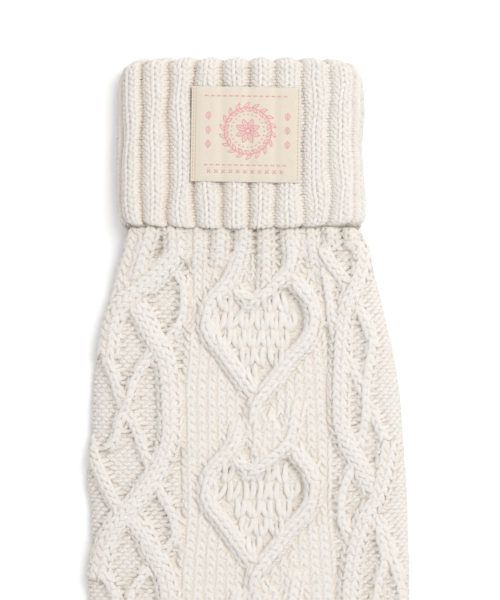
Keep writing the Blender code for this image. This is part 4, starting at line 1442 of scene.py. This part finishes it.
def labelStitches():
    # short thread stitches down both sides, and the folded strip's edge at the left
    halfWidth = 0.5 * label["width"]
    strokes = [
        stroke(dash((x, y), (0, 0.62)), 0.50, 0.20)
        for y in np.arange(1.4, label["height"] - 1, 1.9)
        for x in (1.1 - halfWidth, halfWidth - 1.2)
    ]
    fold = [(2.3 - halfWidth, y) for y in np.linspace(0.3, label["height"] - 0.3, 24)]
    strokes.append(stroke(fold, 0.34, 0.22))
    return strokesObject("labelStitches", strokes, threadMaterial("creamThread", label["cream"]))


print("label")
labelPiece = labelSheet()
labelExtras = [labelMotif(), labelStitches()]

# Stage, light and camera

stage = {
    "floorSize": 6.0,
    "floorColour": (0.93, 0.93, 0.93),
    "floorRoughness": 0.9,
    "skyStrength": 0.86,
    "keyPlace": (0.66, 0.62, 1.20),
    "keyAim": (0.0, 0.05, 0.0),
    "keySize": 0.8,
    "keyPower": 10.4,
    "viewCentre": (0.001, 0.089),
    "viewHeight": 0.300,
    "viewLevel": 0.008,      # the height that the view's size is meant for
    "lens": 120.0,
    "sensor": 36.0,
}


def makeFloor():
    half = 0.5 * stage["floorSize"]
    mesh = bpy.data.meshes.new("floor")
    corners = [(-half, -half, 0), (half, -half, 0), (half, half, 0), (-half, half, 0)]
    mesh.from_pydata(corners, [], [(0, 1, 2, 3)])
    material, tree, shader = newMaterial("paleFloor")
    shader.inputs["Base Color"].default_value = (*stage["floorColour"], 1.0)
    shader.inputs["Roughness"].default_value = stage["floorRoughness"]
    mesh.materials.append(material)
    inScene(bpy.data.objects.new("floor", mesh))


def makeLight():
    world = bpy.data.worlds.new("studio")
    bpy.context.scene.world = world
    world.use_nodes = True
    sky = world.node_tree.nodes["Background"]
    sky.inputs[0].default_value = (1.0, 1.0, 1.0, 1.0)
    sky.inputs[1].default_value = stage["skyStrength"]
    data = bpy.data.lights.new("keyRight", "AREA")
    data.shape, data.size, data.energy = "DISK", stage["keySize"], stage["keyPower"]
    key = inScene(bpy.data.objects.new("keyRight", data))
    key.location = stage["keyPlace"]
    way = Vector(stage["keyAim"]) - Vector(stage["keyPlace"])
    key.rotation_euler = way.to_track_quat("-Z", "Y").to_euler()


def makeCamera():
    # straight down over the cuff and the upper part of the leg
    data = bpy.data.cameras.new("camera")
    data.lens, data.sensor_fit, data.sensor_height = stage["lens"], "VERTICAL", stage["sensor"]
    distance = stage["viewHeight"] * stage["lens"] / stage["sensor"]
    camera = inScene(bpy.data.objects.new("camera", data))
    camera.location = (*stage["viewCentre"], stage["viewLevel"] + distance)
    bpy.context.scene.camera = camera
    bpy.context.scene.view_settings.view_transform = "Standard"


print("stage")
makeFloor()
makeLight()
makeCamera()

for piece in (tubePiece, *tubeKnit, cuffPiece, *cuffKnit, hemPiece, *hemKnit, labelPiece, *labelExtras):
    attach(piece, "root")
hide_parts("cabled_tube")
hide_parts("turned_cuff")
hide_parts("ribbed_hem")
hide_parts("woven_label")

print("done")
